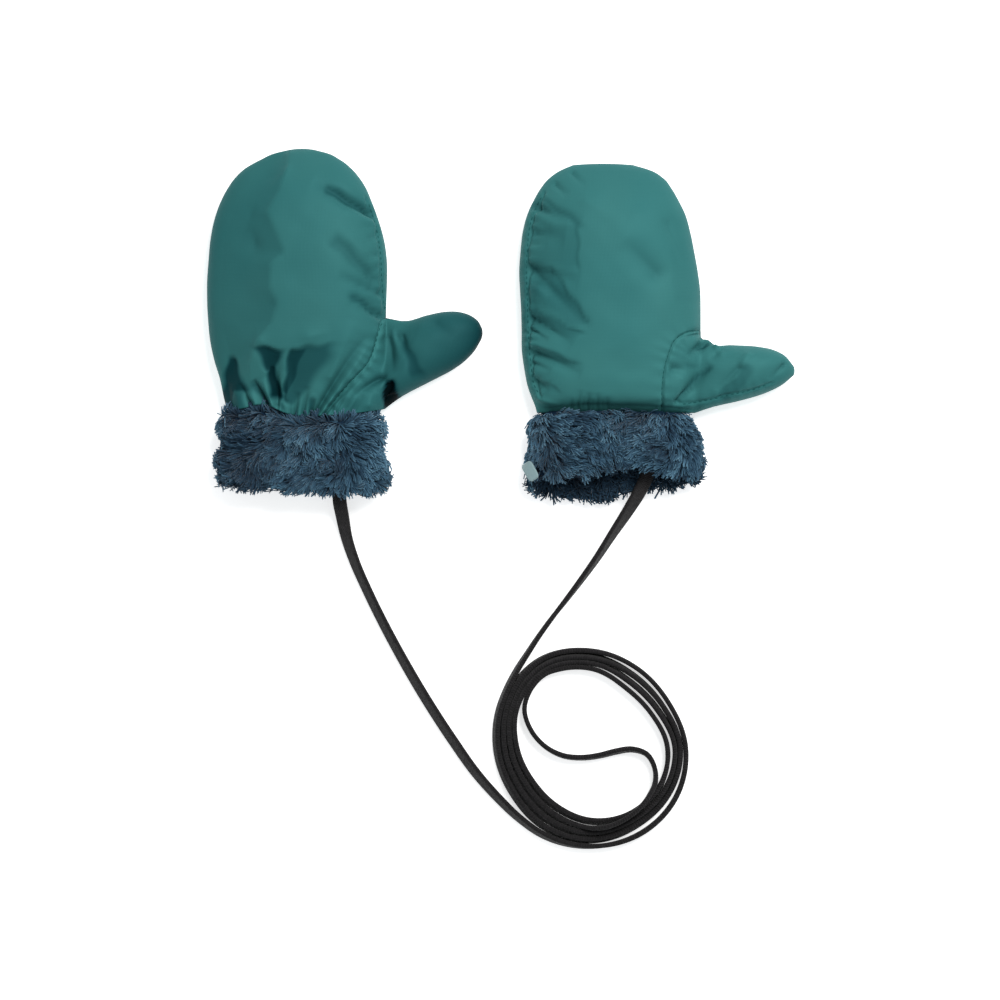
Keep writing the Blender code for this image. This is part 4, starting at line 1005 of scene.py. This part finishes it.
def thumb_grid(hand, seam, edges, size, wall):
    """A thumb piece's outer points, in rows from its seam on the hand to its tip."""
    lower, upper = edges
    columns = size.along_seam
    share = np.linspace(0, 1, columns)
    points = along_path(seam, share)
    start = points + right_of(points) * SEAM_GAP / 2
    start[0, 1] = 0
    u = eased(size.stations)
    wrist = np.linalg.norm(np.subtract(lower[0], start[0]))
    corner = wrist / (wrist + reach_along(lower)[-1])
    u[np.argmin(np.abs(u - corner))] = corner
    below = along_path(lower, np.clip((u - corner) / (1 - corner), 0, 1))
    at_wrist = u < corner
    below[at_wrist] = blend(start[0], np.array(lower[0]), (u[at_wrist] / corner)[:, None])
    below, beyond = below[:, None], along_path(upper, u)[:, None]
    straighten = step_between(0.0, THUMB_FAN, u)[:, None]
    place = blend(share, eased(columns), straighten)
    shifted = start + blend(below - below[0], beyond - beyond[0], share[:, None])
    straight = blend(below, beyond, eased(columns)[:, None])
    flat = blend(shifted, straight, straighten[:, :, None])
    rise = by(THUMB_ROWS, "rise", u)[:, None] + 0 * place
    fill = swell_of(2 * place - 1) * swell_of(np.clip((u - THUMB_TIP) / (1 - THUMB_TIP), 0, 1))[:, None]
    z = wall.height(hand, flat[:, :, 0], flat[:, :, 1], rise, fill)
    end = np.subtract(upper[-1], lower[-1])
    ahead = np.array([end[1], -end[0]]) * THUMB_BULGE
    flat += ahead * (step_between(1 - THUMB_ROUND, 1, u)[:, None] * bow(place))[:, :, None]
    z[:, -1] = z[-1] = z[u >= corner, 0] = wall.seam_z
    return np.concatenate([flat, z[:, :, None]], axis=2)[:, ::-1]


def shell(mitten, name, wall, seam, cloth, size, cuts, material):
    """A hand panel and the thumb piece that is sewn to it."""
    hand = hand_grid(mitten.hand, seam, size, wall)
    thumb = thumb_grid(mitten.hand, seam, mitten.thumb_edges, size, wall)
    hand_on_form = np.abs(hand[:, :, 2] - wall.seam_z) > ON_SEAM
    thumb_on_form = np.zeros(thumb.shape[:2], bool)
    thumb_on_form[0, 1:] = True
    pieces = []
    for node, grid, on_form, shade, cut in (
        (f"{mitten.side}_{name}", hand, hand_on_form, mitten.hand_shade, cuts[0]),
        (f"{mitten.side}_thumb_{name}", thumb, thumb_on_form, mitten.thumb_shade, cuts[1]),
    ):
        piece = panel(f"{node}_shell", grid, on_form, wall, mitten, cloth, shade, material)
        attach(piece, "root")
        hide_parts(node)
        pieces.append(piece)
    return pieces


# ---------------- cuffs

# The pile fabric's own surface, round from the wrist over the mouth and back inside.
CuffBand = namedtuple("CuffBand", "inset along")
BACKING_BANDS = listed(CuffBand, [
    (7.2, -0.02), (6, 0.03), (4.8, 0.09), (4.2, 0.3), (4.4, 0.44), (4.6, 0.49), (4.4, 0.55), (4.1, 0.66),
    (4.1, 0.82), (4.3, 0.87), (4.9, 0.895), (5.6, 0.885), (6, 0.86), (6.1, 0.6), (6.6, 0.3), (7.4, 0.08),
    (8, -0.02),
])
BACKING_RINGS = 44
BACKING_HALF = 52
OUTSIDE_SHARE = 0.62     # the part of the backing's rings that lies outside, up to the mouth
MOUTH_SHARE = 0.06       # the rings this near the mouth's edge grow pile on both walls
LIP_SHARE = 0.12         # and this far out from it, the lower wall's show as a lip
LIP_POWER = 6            # how late the lip dies out towards the cuff's sides

# The way that the pile lies from one side of each cuff to the other, 270 degrees being straight to the
# mouth, and how much paler it is.
Heading = namedtuple("Heading", "across degrees pale")
LEFT_HEADINGS = listed(Heading, [
    (-1, 195, 0.35), (-0.85, 203, -0.36), (-0.5, 218, -0.34), (-0.1, 232, 0.05), (0.3, 262, 0),
    (0.5, 258, -0.1), (0.6, 318, -0.15), (0.8, 330, 0.15), (1, 345, 0.5),
])
RIGHT_HEADINGS = listed(Heading, [
    (-1, 236, 0.45), (-0.8, 300, 0.1), (-0.4, 326, 0), (-0.1, 300, 0.05), (0.15, 236, -0.05),
    (0.5, 220, 0), (0.75, 272, -0.08), (1, 336, 0.15),
])
# How its pile starts at the hem: from what share of the cuff, and how far its first rows are turned up
# over the shell; and how much longer it is on the mouth's lower edge.
Pile = namedtuple("Pile", "headings hem_bare fringe lip_tufts")
LEFT_PILE = Pile(LEFT_HEADINGS, -0.1, 1.0, 0.0)
RIGHT_PILE = Pile(RIGHT_HEADINGS, 0.05, 0.0, 0.5)
HEM_EASE = 0.03
FRINGE_REACH = (0.05, 0.15)
PILE_LUMPS = [Waves(9.0, 20.0, 0.3)]
PILE_SWIRLS = [Waves(14.0, 34.0, 0.35), Waves(5.0, 9.0, 0.45)]
PILE_PATCHES = [Waves(10.0, 26.0, 0.16)]
FRINGE_PALE = 0.15       # what is added to the pile's tone, by place
MOUTH_PALE = 0.2
MOUTH_PALE_FROM = (0.7, 0.95)
# Painted shade: the pile on the mouth's lower lip, and inside the cuff, is made darker.
LIP_PAINTED_SHADE = -0.45
INSIDE_PAINTED_SHADE = -0.85
INSIDE_COMB = 0.4        # inside the cuff the pile lies less, is sparser, and grows from here on
INSIDE_GROWTH = 0.7
INSIDE_GROWS_FROM = (0.45, 0.8)
INSIDE_TUFTS = 0.5
UNDER_GROWTH = 0.6       # of the pile below, which can't be seen

# The label's tab from its end at the side to its end in the mouth, as places (across, along) on the cuff.
LABEL_START = (-0.968, 0.715)
LABEL_END = (-0.862, 0.955)
LABEL_HALF = (0.046, -0.04)
LABEL_CLEAR = 0.11       # how far round it little pile grows, to its sides and past its ends
LABEL_CLEAR_ENDS = 0.1
LABEL_PILE = 0.12


def under_label(across, along):
    """Where the label keeps the pile down."""
    t, away = onto(LABEL_START, LABEL_END, across, along, (-np.inf, np.inf))
    return (t > -LABEL_CLEAR_ENDS) & (t < 1 + LABEL_CLEAR_ENDS) & (away < LABEL_CLEAR)


def pile_growth(mitten, across, above, at, along, x, y):
    """How the pile grows at each point: its comb, tone and reach, and its growth above and below."""
    pile = mitten.pile
    heading = np.radians(by(pile.headings, "degrees", across))
    heading = heading + unevenness(x, y, PILE_SWIRLS, mitten.seed + 1)
    comb = np.stack([np.cos(heading), np.sin(heading), np.zeros_like(heading)], axis=-1)
    inside = (at > OUTSIDE_SHARE) & np.ones_like(above)
    comb[inside] *= INSIDE_COMB
    hem = above & ~inside
    fringe = pile.fringe * (1 - step_between(*FRINGE_REACH, along)) * hem
    comb = blend(comb, np.array([0.0, 1.0, 0.0]), fringe[..., None])
    growth = np.where(inside, step_between(*INSIDE_GROWS_FROM, along) * INSIDE_GROWTH, 1.0)
    bare = pile.hem_bare
    growth = growth * np.where(hem, step_between(bare - HEM_EASE, bare + HEM_EASE, along), 1.0)
    lower_lip = ~above * step_between(OUTSIDE_SHARE - LIP_SHARE, OUTSIDE_SHARE, at) * (1 - across**LIP_POWER)
    pale = by(pile.headings, "pale", across) + MOUTH_PALE * step_between(*MOUTH_PALE_FROM, along)
    pale = pale + unevenness(x, y, PILE_PATCHES, mitten.seed + 2) + FRINGE_PALE * fringe
    # Painted shade inside the cuff and on the mouth's lower lip.
    pale = np.where(inside, INSIDE_PAINTED_SHADE, pale) + LIP_PAINTED_SHADE * lower_lip
    reach = 1 + pile.lip_tufts * lower_lip * np.where(inside, INSIDE_TUFTS, 1.0)
    on_top = (above ^ inside) | (np.abs(at - OUTSIDE_SHARE) < MOUTH_SHARE)
    top = np.where(on_top, growth, 0.0)
    under = np.where(on_top, 0.0, growth * UNDER_GROWTH)
    if mitten.side == "right":
        top = np.where(under_label(across, along) & hem, top * LABEL_PILE, top)
    return {"comb": comb, "pale": pale, "reach": reach}, top, under


def cuff_backing(mitten, material):
    """The cuff's open tube of knitted backing, and how the pile grows on it."""
    swing = 2 * eased(BACKING_HALF + 1) - 1
    across = np.concatenate([swing, swing[-2:0:-1]])[None]
    above = (np.arange(across.size) <= BACKING_HALF)[None]
    at = np.linspace(0, 1, BACKING_RINGS)[:, None]
    keys = np.linspace(0, 1, len(BACKING_BANDS))
    inset, along = (smooth(keys, column, at) + 0 * across for column in zip(*BACKING_BANDS))
    flat = cuff_place(mitten, inset, across, above, along)
    inset = inset + unevenness(flat[..., 0], flat[..., 1], PILE_LUMPS, mitten.seed)
    points = cuff_place(mitten, inset, across, above, along)
    faces = ring_faces(BACKING_RINGS, across.size, True)
    piece = object_from(f"{mitten.side}_cuff_backing", points, faces, material, mitten.place)
    return piece, *pile_growth(mitten, across, above, at, along, points[..., 0], points[..., 1])


# ---------------- pile

# One lock, a long and drooping curl for a length of 1: three points of its curve, and its girth.
LOCK_STEPS = 2
LOCK_CURVE = {"Start": (0, 0, -0.08), "Middle": (0.22, 0, 0.5), "End": (0.95, 0, 0.32)}
LOCK_SIDES = 3
LOCK_RADIUS = 0.049
LOCK_TAPERS_FROM = 0.35
LOCK_TIP = 0.16          # the tip's radius, as a share of the root's
CLUMP_SCALE = 500.0      # clumps of pile a metre
CLUMP_PULL = 260.0       # how strongly locks lean to their clump's middle
FUZZ = 0.2
FUZZ_SEED = 7
# What is drawn for each lock: a share of its clump's own draw, and a range of its own.
Spread = namedtuple("Spread", "clump low high seed")
PITCH = Spread(0.65, -0.42, -0.12, 11)
SIZE = Spread(0.4, 0.7, 0.9, 13)
TONE = Spread(0.58, 0.02, 0.32, 17)
PILE_INPUTS = {"Density": "Float", "Length": "Float", "Lean": "Float", "Seed": "Int", "Material": "Material"}

PILE_DENSITY = 2.25e6    # locks a square metre
PILE_LENGTH = 0.0050
PILE_PRESSED = 0.0002    # the height of the pile that is pressed against the floor
Layer = namedtuple("Layer", "name below density length lean")
PILE_LAYERS = [
    Layer("pile", False, 1.0, 1.04, 1.0), Layer("pile_short", False, 1.0, 0.8, 0.8),
    Layer("pile_below", True, 0.6, 0.8, 0.9),
]


class Growing(Wiring):
    """A Geometry Nodes tree being wired."""

    def read(self, name, kind="FLOAT"):
        return self.add("GeometryNodeInputNamedAttribute", {"Name": name}, "Attribute", data_type=kind)

    def store(self, geometry, name, value, domain):
        return self.add("GeometryNodeStoreNamedAttribute",
                        {"Geometry": geometry, "Name": name, "Value": value}, domain=domain)

    def vectors(self, operation, first, second):
        return self.add("ShaderNodeVectorMath", {0: first, 1: second}, operation=operation)

    def scaled(self, vector, scale):
        return self.add("ShaderNodeVectorMath", {0: vector, "Scale": scale}, operation="SCALE")

    def drawn(self, clump, spread):
        own = self.add("FunctionNodeRandomValue", {2: spread.low, 3: spread.high, "Seed": spread.seed}, 1,
                       data_type="FLOAT")
        return self.math("MULTIPLY_ADD", clump, spread.clump, own)


def lock(wire):
    """The curl that is set on every root, with how near its tip each point is."""
    bend = wire.add("GeometryNodeCurveQuadraticBezier", {"Resolution": LOCK_STEPS, **LOCK_CURVE})
    share = wire.add("GeometryNodeSplineParameter")
    bend = wire.store(bend, "tip", share, "POINT")
    thin = wire.add("ShaderNodeMapRange", {"Value": share, "From Min": LOCK_TAPERS_FROM, "From Max": 1.0,
                                           "To Min": 1.0, "To Max": LOCK_TIP}, "Result")
    bend = wire.add("GeometryNodeSetCurveRadius", {"Curve": bend, "Radius": thin})
    ring = wire.add("GeometryNodeCurvePrimitiveCircle", {"Resolution": LOCK_SIDES, "Radius": LOCK_RADIUS})
    return wire.add("GeometryNodeCurveToMesh", {"Curve": bend, "Profile Curve": ring, "Fill Caps": True})


def pile_tree():
    """Locks of pile, scattered by the mesh's growth, combed along its comb and drawn together in clumps."""
    tree = bpy.data.node_groups.new("pile", "GeometryNodeTree")
    tree.interface.new_socket("Geometry", in_out="INPUT", socket_type="NodeSocketGeometry")
    for name, kind in PILE_INPUTS.items():
        tree.interface.new_socket(name, in_out="INPUT", socket_type=f"NodeSocket{kind}")
    tree.interface.new_socket("Geometry", in_out="OUTPUT", socket_type="NodeSocketGeometry")
    wire = Growing(tree)
    given = tree.nodes.new("NodeGroupInput").outputs
    curl = lock(wire)
    density = wire.math("MULTIPLY", given["Density"], wire.read("growth"))
    roots = wire.add("GeometryNodeDistributePointsOnFaces",
                     {"Mesh": given["Geometry"], "Density": density, "Seed": given["Seed"]}, "Points")
    place = wire.add("GeometryNodeInputPosition")
    cell = wire.add("ShaderNodeTexVoronoi", {"Vector": place, "Scale": CLUMP_SCALE}, "Position")
    draws = wire.add("ShaderNodeSeparateXYZ", {"Vector": cell.node.outputs["Color"]}).node.outputs
    pull = wire.scaled(wire.vectors("SUBTRACT", cell, place), CLUMP_PULL)
    fuzz = wire.add("FunctionNodeRandomValue", {"Min": (-FUZZ,) * 3, "Max": (FUZZ,) * 3, "Seed": FUZZ_SEED},
                    data_type="FLOAT_VECTOR")
    lean = wire.scaled(wire.read("comb", "FLOAT_VECTOR"), given["Lean"])
    lean = wire.vectors("ADD", lean, wire.vectors("ADD", pull, fuzz))
    turned = wire.add("FunctionNodeAlignRotationToVector", {"Vector": roots.node.outputs["Normal"]}, axis="Z")
    turned = wire.add("FunctionNodeAlignRotationToVector", {"Rotation": turned, "Vector": lean}, axis="X",
                      pivot_axis="Z")
    pitch = wire.drawn(draws["X"], PITCH)
    raised = wire.add("FunctionNodeAxisAngleToRotation", {"Axis": (0, 1, 0), "Angle": pitch})
    turned = wire.add("FunctionNodeRotateRotation", {"Rotation": turned, "Rotate By": raised},
                      rotation_space="LOCAL")
    size = wire.math("MULTIPLY", wire.drawn(draws["Y"], SIZE), given["Length"])
    size = wire.math("MULTIPLY", size, wire.read("reach"))
    tone = wire.math("ADD", wire.drawn(draws["Z"], TONE), wire.read("pale"))
    placed = wire.add("GeometryNodeInstanceOnPoints", {"Points": roots, "Instance": curl, "Rotation": turned,
                                                       "Scale": size})
    placed = wire.store(placed, "tone", tone, "INSTANCE")
    whole = wire.add("GeometryNodeRealizeInstances", {"Geometry": placed})
    whole = wire.add("GeometryNodeSetMaterial", {"Geometry": whole, "Material": given["Material"]})
    tree.links.new(whole, tree.nodes.new("NodeGroupOutput").inputs["Geometry"])
    return tree


def pile_on(backing, name, values, tree, settings):
    """Grows locks on a copy of the backing and keeps them as a plain mesh piece."""
    ground = add_object(f"{name}_ground", backing.data.copy())
    for key, numbers in values.items():
        point_values(ground.data, key, numbers)
    grower = ground.modifiers.new("pile", "NODES")
    grower.node_group = tree
    for item in tree.interface.items_tree:
        if item.name in settings:
            grower[item.identifier] = settings[item.name]
    grown = bpy.data.meshes.new_from_object(ground.evaluated_get(bpy.context.evaluated_depsgraph_get()))
    piece = add_object(name, grown)
    bpy.data.objects.remove(ground)
    spots = np.empty(len(grown.vertices) * 3, np.float32)
    grown.vertices.foreach_get("co", spots)
    spots[2::3] = np.maximum(spots[2::3], PILE_PRESSED)
    grown.vertices.foreach_set("co", spots)
    grown.materials.clear()
    grown.materials.append(settings["Material"])
    grown.shade_smooth()
    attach(piece, "root")
    return piece


def cuff(mitten, backing_look, lock_look, tree):
    """The cuff's backing with its pile above, below and in the mouth."""
    backing, values, top, under = cuff_backing(mitten, backing_look)
    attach(backing, "root")
    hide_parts(f"{mitten.side}_cuff")
    for k, layer in enumerate(PILE_LAYERS):
        settings = {"Density": PILE_DENSITY * layer.density, "Length": PILE_LENGTH * layer.length,
                    "Lean": layer.lean, "Seed": mitten.seed + 1 + k, "Material": lock_look}
        values["growth"] = under if layer.below else top
        pile_on(backing, f"{mitten.side}_cuff_{layer.name}", values, tree, settings)


# ---------------- label

LABEL_INSET = 0.7
LABEL_THICKNESS = 0.8
LABEL_EDGE = -0.998
LABEL_POINTS = 16
LABEL_ROUND = 0.35       # how much of the tab's ends is drawn in at their corners
LABEL_POWER = 6
LABEL_SCALE = (40, 36)   # millimetres on its UV, across and along the cuff


def label(mitten):
    """A bare woven tab in the corner of the right cuff's mouth."""
    offset, share = np.meshgrid(np.linspace(-1, 1, LABEL_POINTS), np.linspace(0, 1, LABEL_POINTS))
    offset = offset * (1 - LABEL_ROUND * np.abs(2 * share - 1) ** LABEL_POWER)
    across, along = (blend(start, end, share) + half * offset for start, end, half in
                     zip(LABEL_START, LABEL_END, LABEL_HALF))
    across = np.maximum(across, LABEL_EDGE)
    near = cuff_place(mitten, LABEL_INSET, across, np.ones_like(across, bool), along)
    normal = unit(np.cross(np.gradient(near, axis=0), np.gradient(near, axis=1)))
    points = np.concatenate([near + normal * LABEL_THICKNESS, near])
    faces = wall_faces(LABEL_POINTS, LABEL_POINTS, True)
    piece = object_from("right_label_tab", points, faces, woven_tab(), mitten.place)
    uv_from(piece, np.tile(across.ravel() * LABEL_SCALE[0], 2), np.tile(along.ravel() * LABEL_SCALE[1], 2))
    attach(piece, "root")
    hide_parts("right_label")


# ---------------- stitches

STITCH_LINE_STEPS = 40   # the points on the curve that stitches follow, for each row of its table
STITCH_STEP = 2.5
STITCH_LENGTH = 1.7
STITCH_WIDTH = 0.38
STITCH_SIDES = 6
STITCH_ABOVE = 100.0
SEAM_OFFSET = -0.5       # the stitches beside a thumb's seam lie this far from it, on the hand
# From one end of a stitch to the other: shares of its length and width, and its lift in widths.
StitchRing = namedtuple("StitchRing", "along width lift")
STITCH_RINGS = listed(StitchRing, [
    (0, 0.4, -0.5), (0.18, 0.9, 0.05), (0.5, 1, 0.25), (0.82, 0.9, 0.05), (1, 0.4, -0.5),
])
StitchRow = namedtuple("StitchRow", "path offset")
LEFT_STITCHES = [StitchRow(LEFT_BACK_SEAM, SEAM_OFFSET), StitchRow(LEFT_SIDE_SEAM, 0.0)]
RIGHT_STITCHES = [StitchRow(RIGHT_PALM_SEAM, SEAM_OFFSET), StitchRow(RIGHT_SIDE_SEAM, 0.0),
                  StitchRow(RIGHT_THUMB_SEAM, 0.0)]


def stitch_ends(row, mitten):
    """The places (x, y) in the world of both ends of every stitch in a row."""
    line = along_path(row.path, np.linspace(0, 1, STITCH_LINE_STEPS * len(row.path)))
    reach = reach_along(line)
    line = line + right_of(line) * row.offset
    line[:, 1] += hand_sag(line[:, 0], line[:, 1], mitten.sag)
    first = np.arange(STITCH_STEP, reach[-1] - STITCH_STEP, STITCH_STEP)
    ends = np.stack([first, first + STITCH_LENGTH], axis=1)
    return np.stack([np.interp(ends, reach, line[:, k]) + mitten.place[k] for k in (0, 1)], axis=2)


def on_cloth(spots, shells):
    """The same places with the height of the uppermost cloth there."""
    targets = [BVHTree.FromPolygons([v.co for v in shell.data.vertices],
                                    [p.vertices for p in shell.data.polygons]) for shell in shells]
    raised = []
    for x, y in spots.reshape(-1, 2):
        start = Vector((x, y, STITCH_ABOVE)) * MM
        hits = [target.ray_cast(start, Vector((0, 0, -1)))[0] for target in targets]
        raised.append((x, y, max(hit.z for hit in hits if hit) / MM))
    return np.array(raised).reshape(*spots.shape[:2], 3)


def stitches(mitten, rows, shells, material):
    """Rows of thread along a mitten's seams, each stitch on the cloth with its ends sunk into it."""
    ends = on_cloth(np.concatenate([stitch_ends(row, mitten) for row in rows]), shells)
    run = ends[:, 1] - ends[:, 0]
    level = level_across(run)
    rise = unit(np.cross(run, level))
    turn = (2 * math.pi * np.arange(STITCH_SIDES) / STITCH_SIDES)[:, None]
    around = level[:, None] * np.cos(turn) + rise[:, None] * np.sin(turn)
    rings = []
    for ring in STITCH_RINGS:
        middle = ends[:, 0] + run * ring.along + rise * ring.lift * STITCH_WIDTH
        rings.append(middle[:, None] + around * ring.width * STITCH_WIDTH / 2)
    points = np.stack(rings, axis=1)
    size = len(STITCH_RINGS) * STITCH_SIDES
    one = ring_faces(len(STITCH_RINGS), STITCH_SIDES, False)
    faces = [tuple(k + size * i for k in face) for i in range(len(points)) for face in one]
    piece = object_from(f"{mitten.side}_seam_stitches", points, faces, material)
    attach(piece, "root")


# ---------------- the pair

# Its wrist seam's sag is given in the middle, at the sides and where it rises, and the painted shade that
# darkens the hand from the wrist, and each thumb from its root, to the tip.
Mitten = namedtuple("Mitten", "side place sag hand thumb_edges hand_shade thumb_shade cuff lips pile seed")
LEFT = Mitten("left", (-89.4, -38.2), (-3.0, 0.6, 4.2), LEFT_HAND, (LEFT_THUMB_LOWER, LEFT_THUMB_UPPER),
              (0.12, 0.26), (0.0, 0.98), LEFT_CUFF, (LEFT_LIP_UPPER, LEFT_LIP_LOWER), LEFT_PILE, 21)
RIGHT = Mitten("right", (53.0, -39.6), (0.4, 0.0, 0.0), RIGHT_HAND, (RIGHT_THUMB_LOWER, RIGHT_THUMB_UPPER),
               (0.0, 0.22), (0.08, 0.24), RIGHT_CUFF, (RIGHT_LIP_UPPER, RIGHT_LIP_LOWER), RIGHT_PILE, 31)

LEFT_BACK = Cloth(
    LEFT_BACK_FOLDS + LEFT_BACK_CREASES, LEFT_BACK_DARTS,
    [Groove(LEFT_BACK_SEAM, 0.8, 1.0, 0.6), Groove(LEFT_SIDE_SEAM, 0.6, 0.9, 0.35)], LEFT_FLANK, 3, 1.5)
RIGHT_PALM = Cloth(
    RIGHT_PALM_FOLDS + RIGHT_PALM_CREASES, RIGHT_PALM_DARTS,
    [Groove(RIGHT_PALM_SEAM, 0.7, 0.8, 0.3), Groove(RIGHT_SIDE_SEAM, 0.7, 1.0, 0.5),
     Groove(RIGHT_THUMB_SEAM, 0.6, 0.7, 0.25), Groove(RIGHT_WRIST_ROLL, 4.4, 3.4, 0.0)], None, 5, 1.8)
LEFT_PALM = Cloth(RIGHT_PALM_FOLDS, [], [Groove(LEFT_PALM_SEAM, 0.9, 1.0, 0.2)], None, 8, 0.7)
RIGHT_BACK = Cloth(LEFT_BACK_FOLDS, LEFT_BACK_DARTS[:3], [Groove(RIGHT_BACK_SEAM, 0.9, 1.0, 0.2)], None, 9,
                   0.7)

# What shows of each piece when it is cut and laid out flat, in metres.
Cut = namedtuple("Cut", "width length area held")
LEFT_BACK_CUTS = (Cut(0.104, 0.134, 0.0118, "gathered"), Cut(0.055, 0.072, 0.0028, "gathered"))
LEFT_PALM_CUTS = (Cut(0.098, 0.130, 0.0100, "laid"), Cut(0.052, 0.062, 0.0024, "laid"))
RIGHT_PALM_CUTS = (Cut(0.102, 0.129, 0.0106, "laid"), Cut(0.052, 0.062, 0.0024, "laid"))
RIGHT_BACK_CUTS = (Cut(0.098, 0.125, 0.0098, "laid"), Cut(0.052, 0.055, 0.0021, "laid"))


def main():
    straight_down_camera()
    pale_floor()
    even_sky()
    key_light()
    bpy.context.scene.view_settings.view_transform = "Standard"
    string()
    teal = taffeta()
    left = shell(LEFT, "back", UPPER, LEFT_BACK_SEAM, LEFT_BACK, FINE, LEFT_BACK_CUTS, teal)
    shell(LEFT, "palm", LOWER, LEFT_PALM_SEAM, LEFT_PALM, COARSE, LEFT_PALM_CUTS, teal)
    right = shell(RIGHT, "palm", UPPER, RIGHT_PALM_SEAM, RIGHT_PALM, FINE, RIGHT_PALM_CUTS, teal)
    shell(RIGHT, "back", LOWER, RIGHT_BACK_SEAM, RIGHT_BACK, COARSE, RIGHT_BACK_CUTS, teal)
    thread = seam_thread()
    stitches(LEFT, LEFT_STITCHES, left, thread)
    stitches(RIGHT, RIGHT_STITCHES, right, thread)
    tree = pile_tree()
    backing_look = pile_backing()
    lock_look = pile_locks()
    cuff(LEFT, backing_look, lock_look, tree)
    cuff(RIGHT, backing_look, lock_look, tree)
    label(RIGHT)


main()
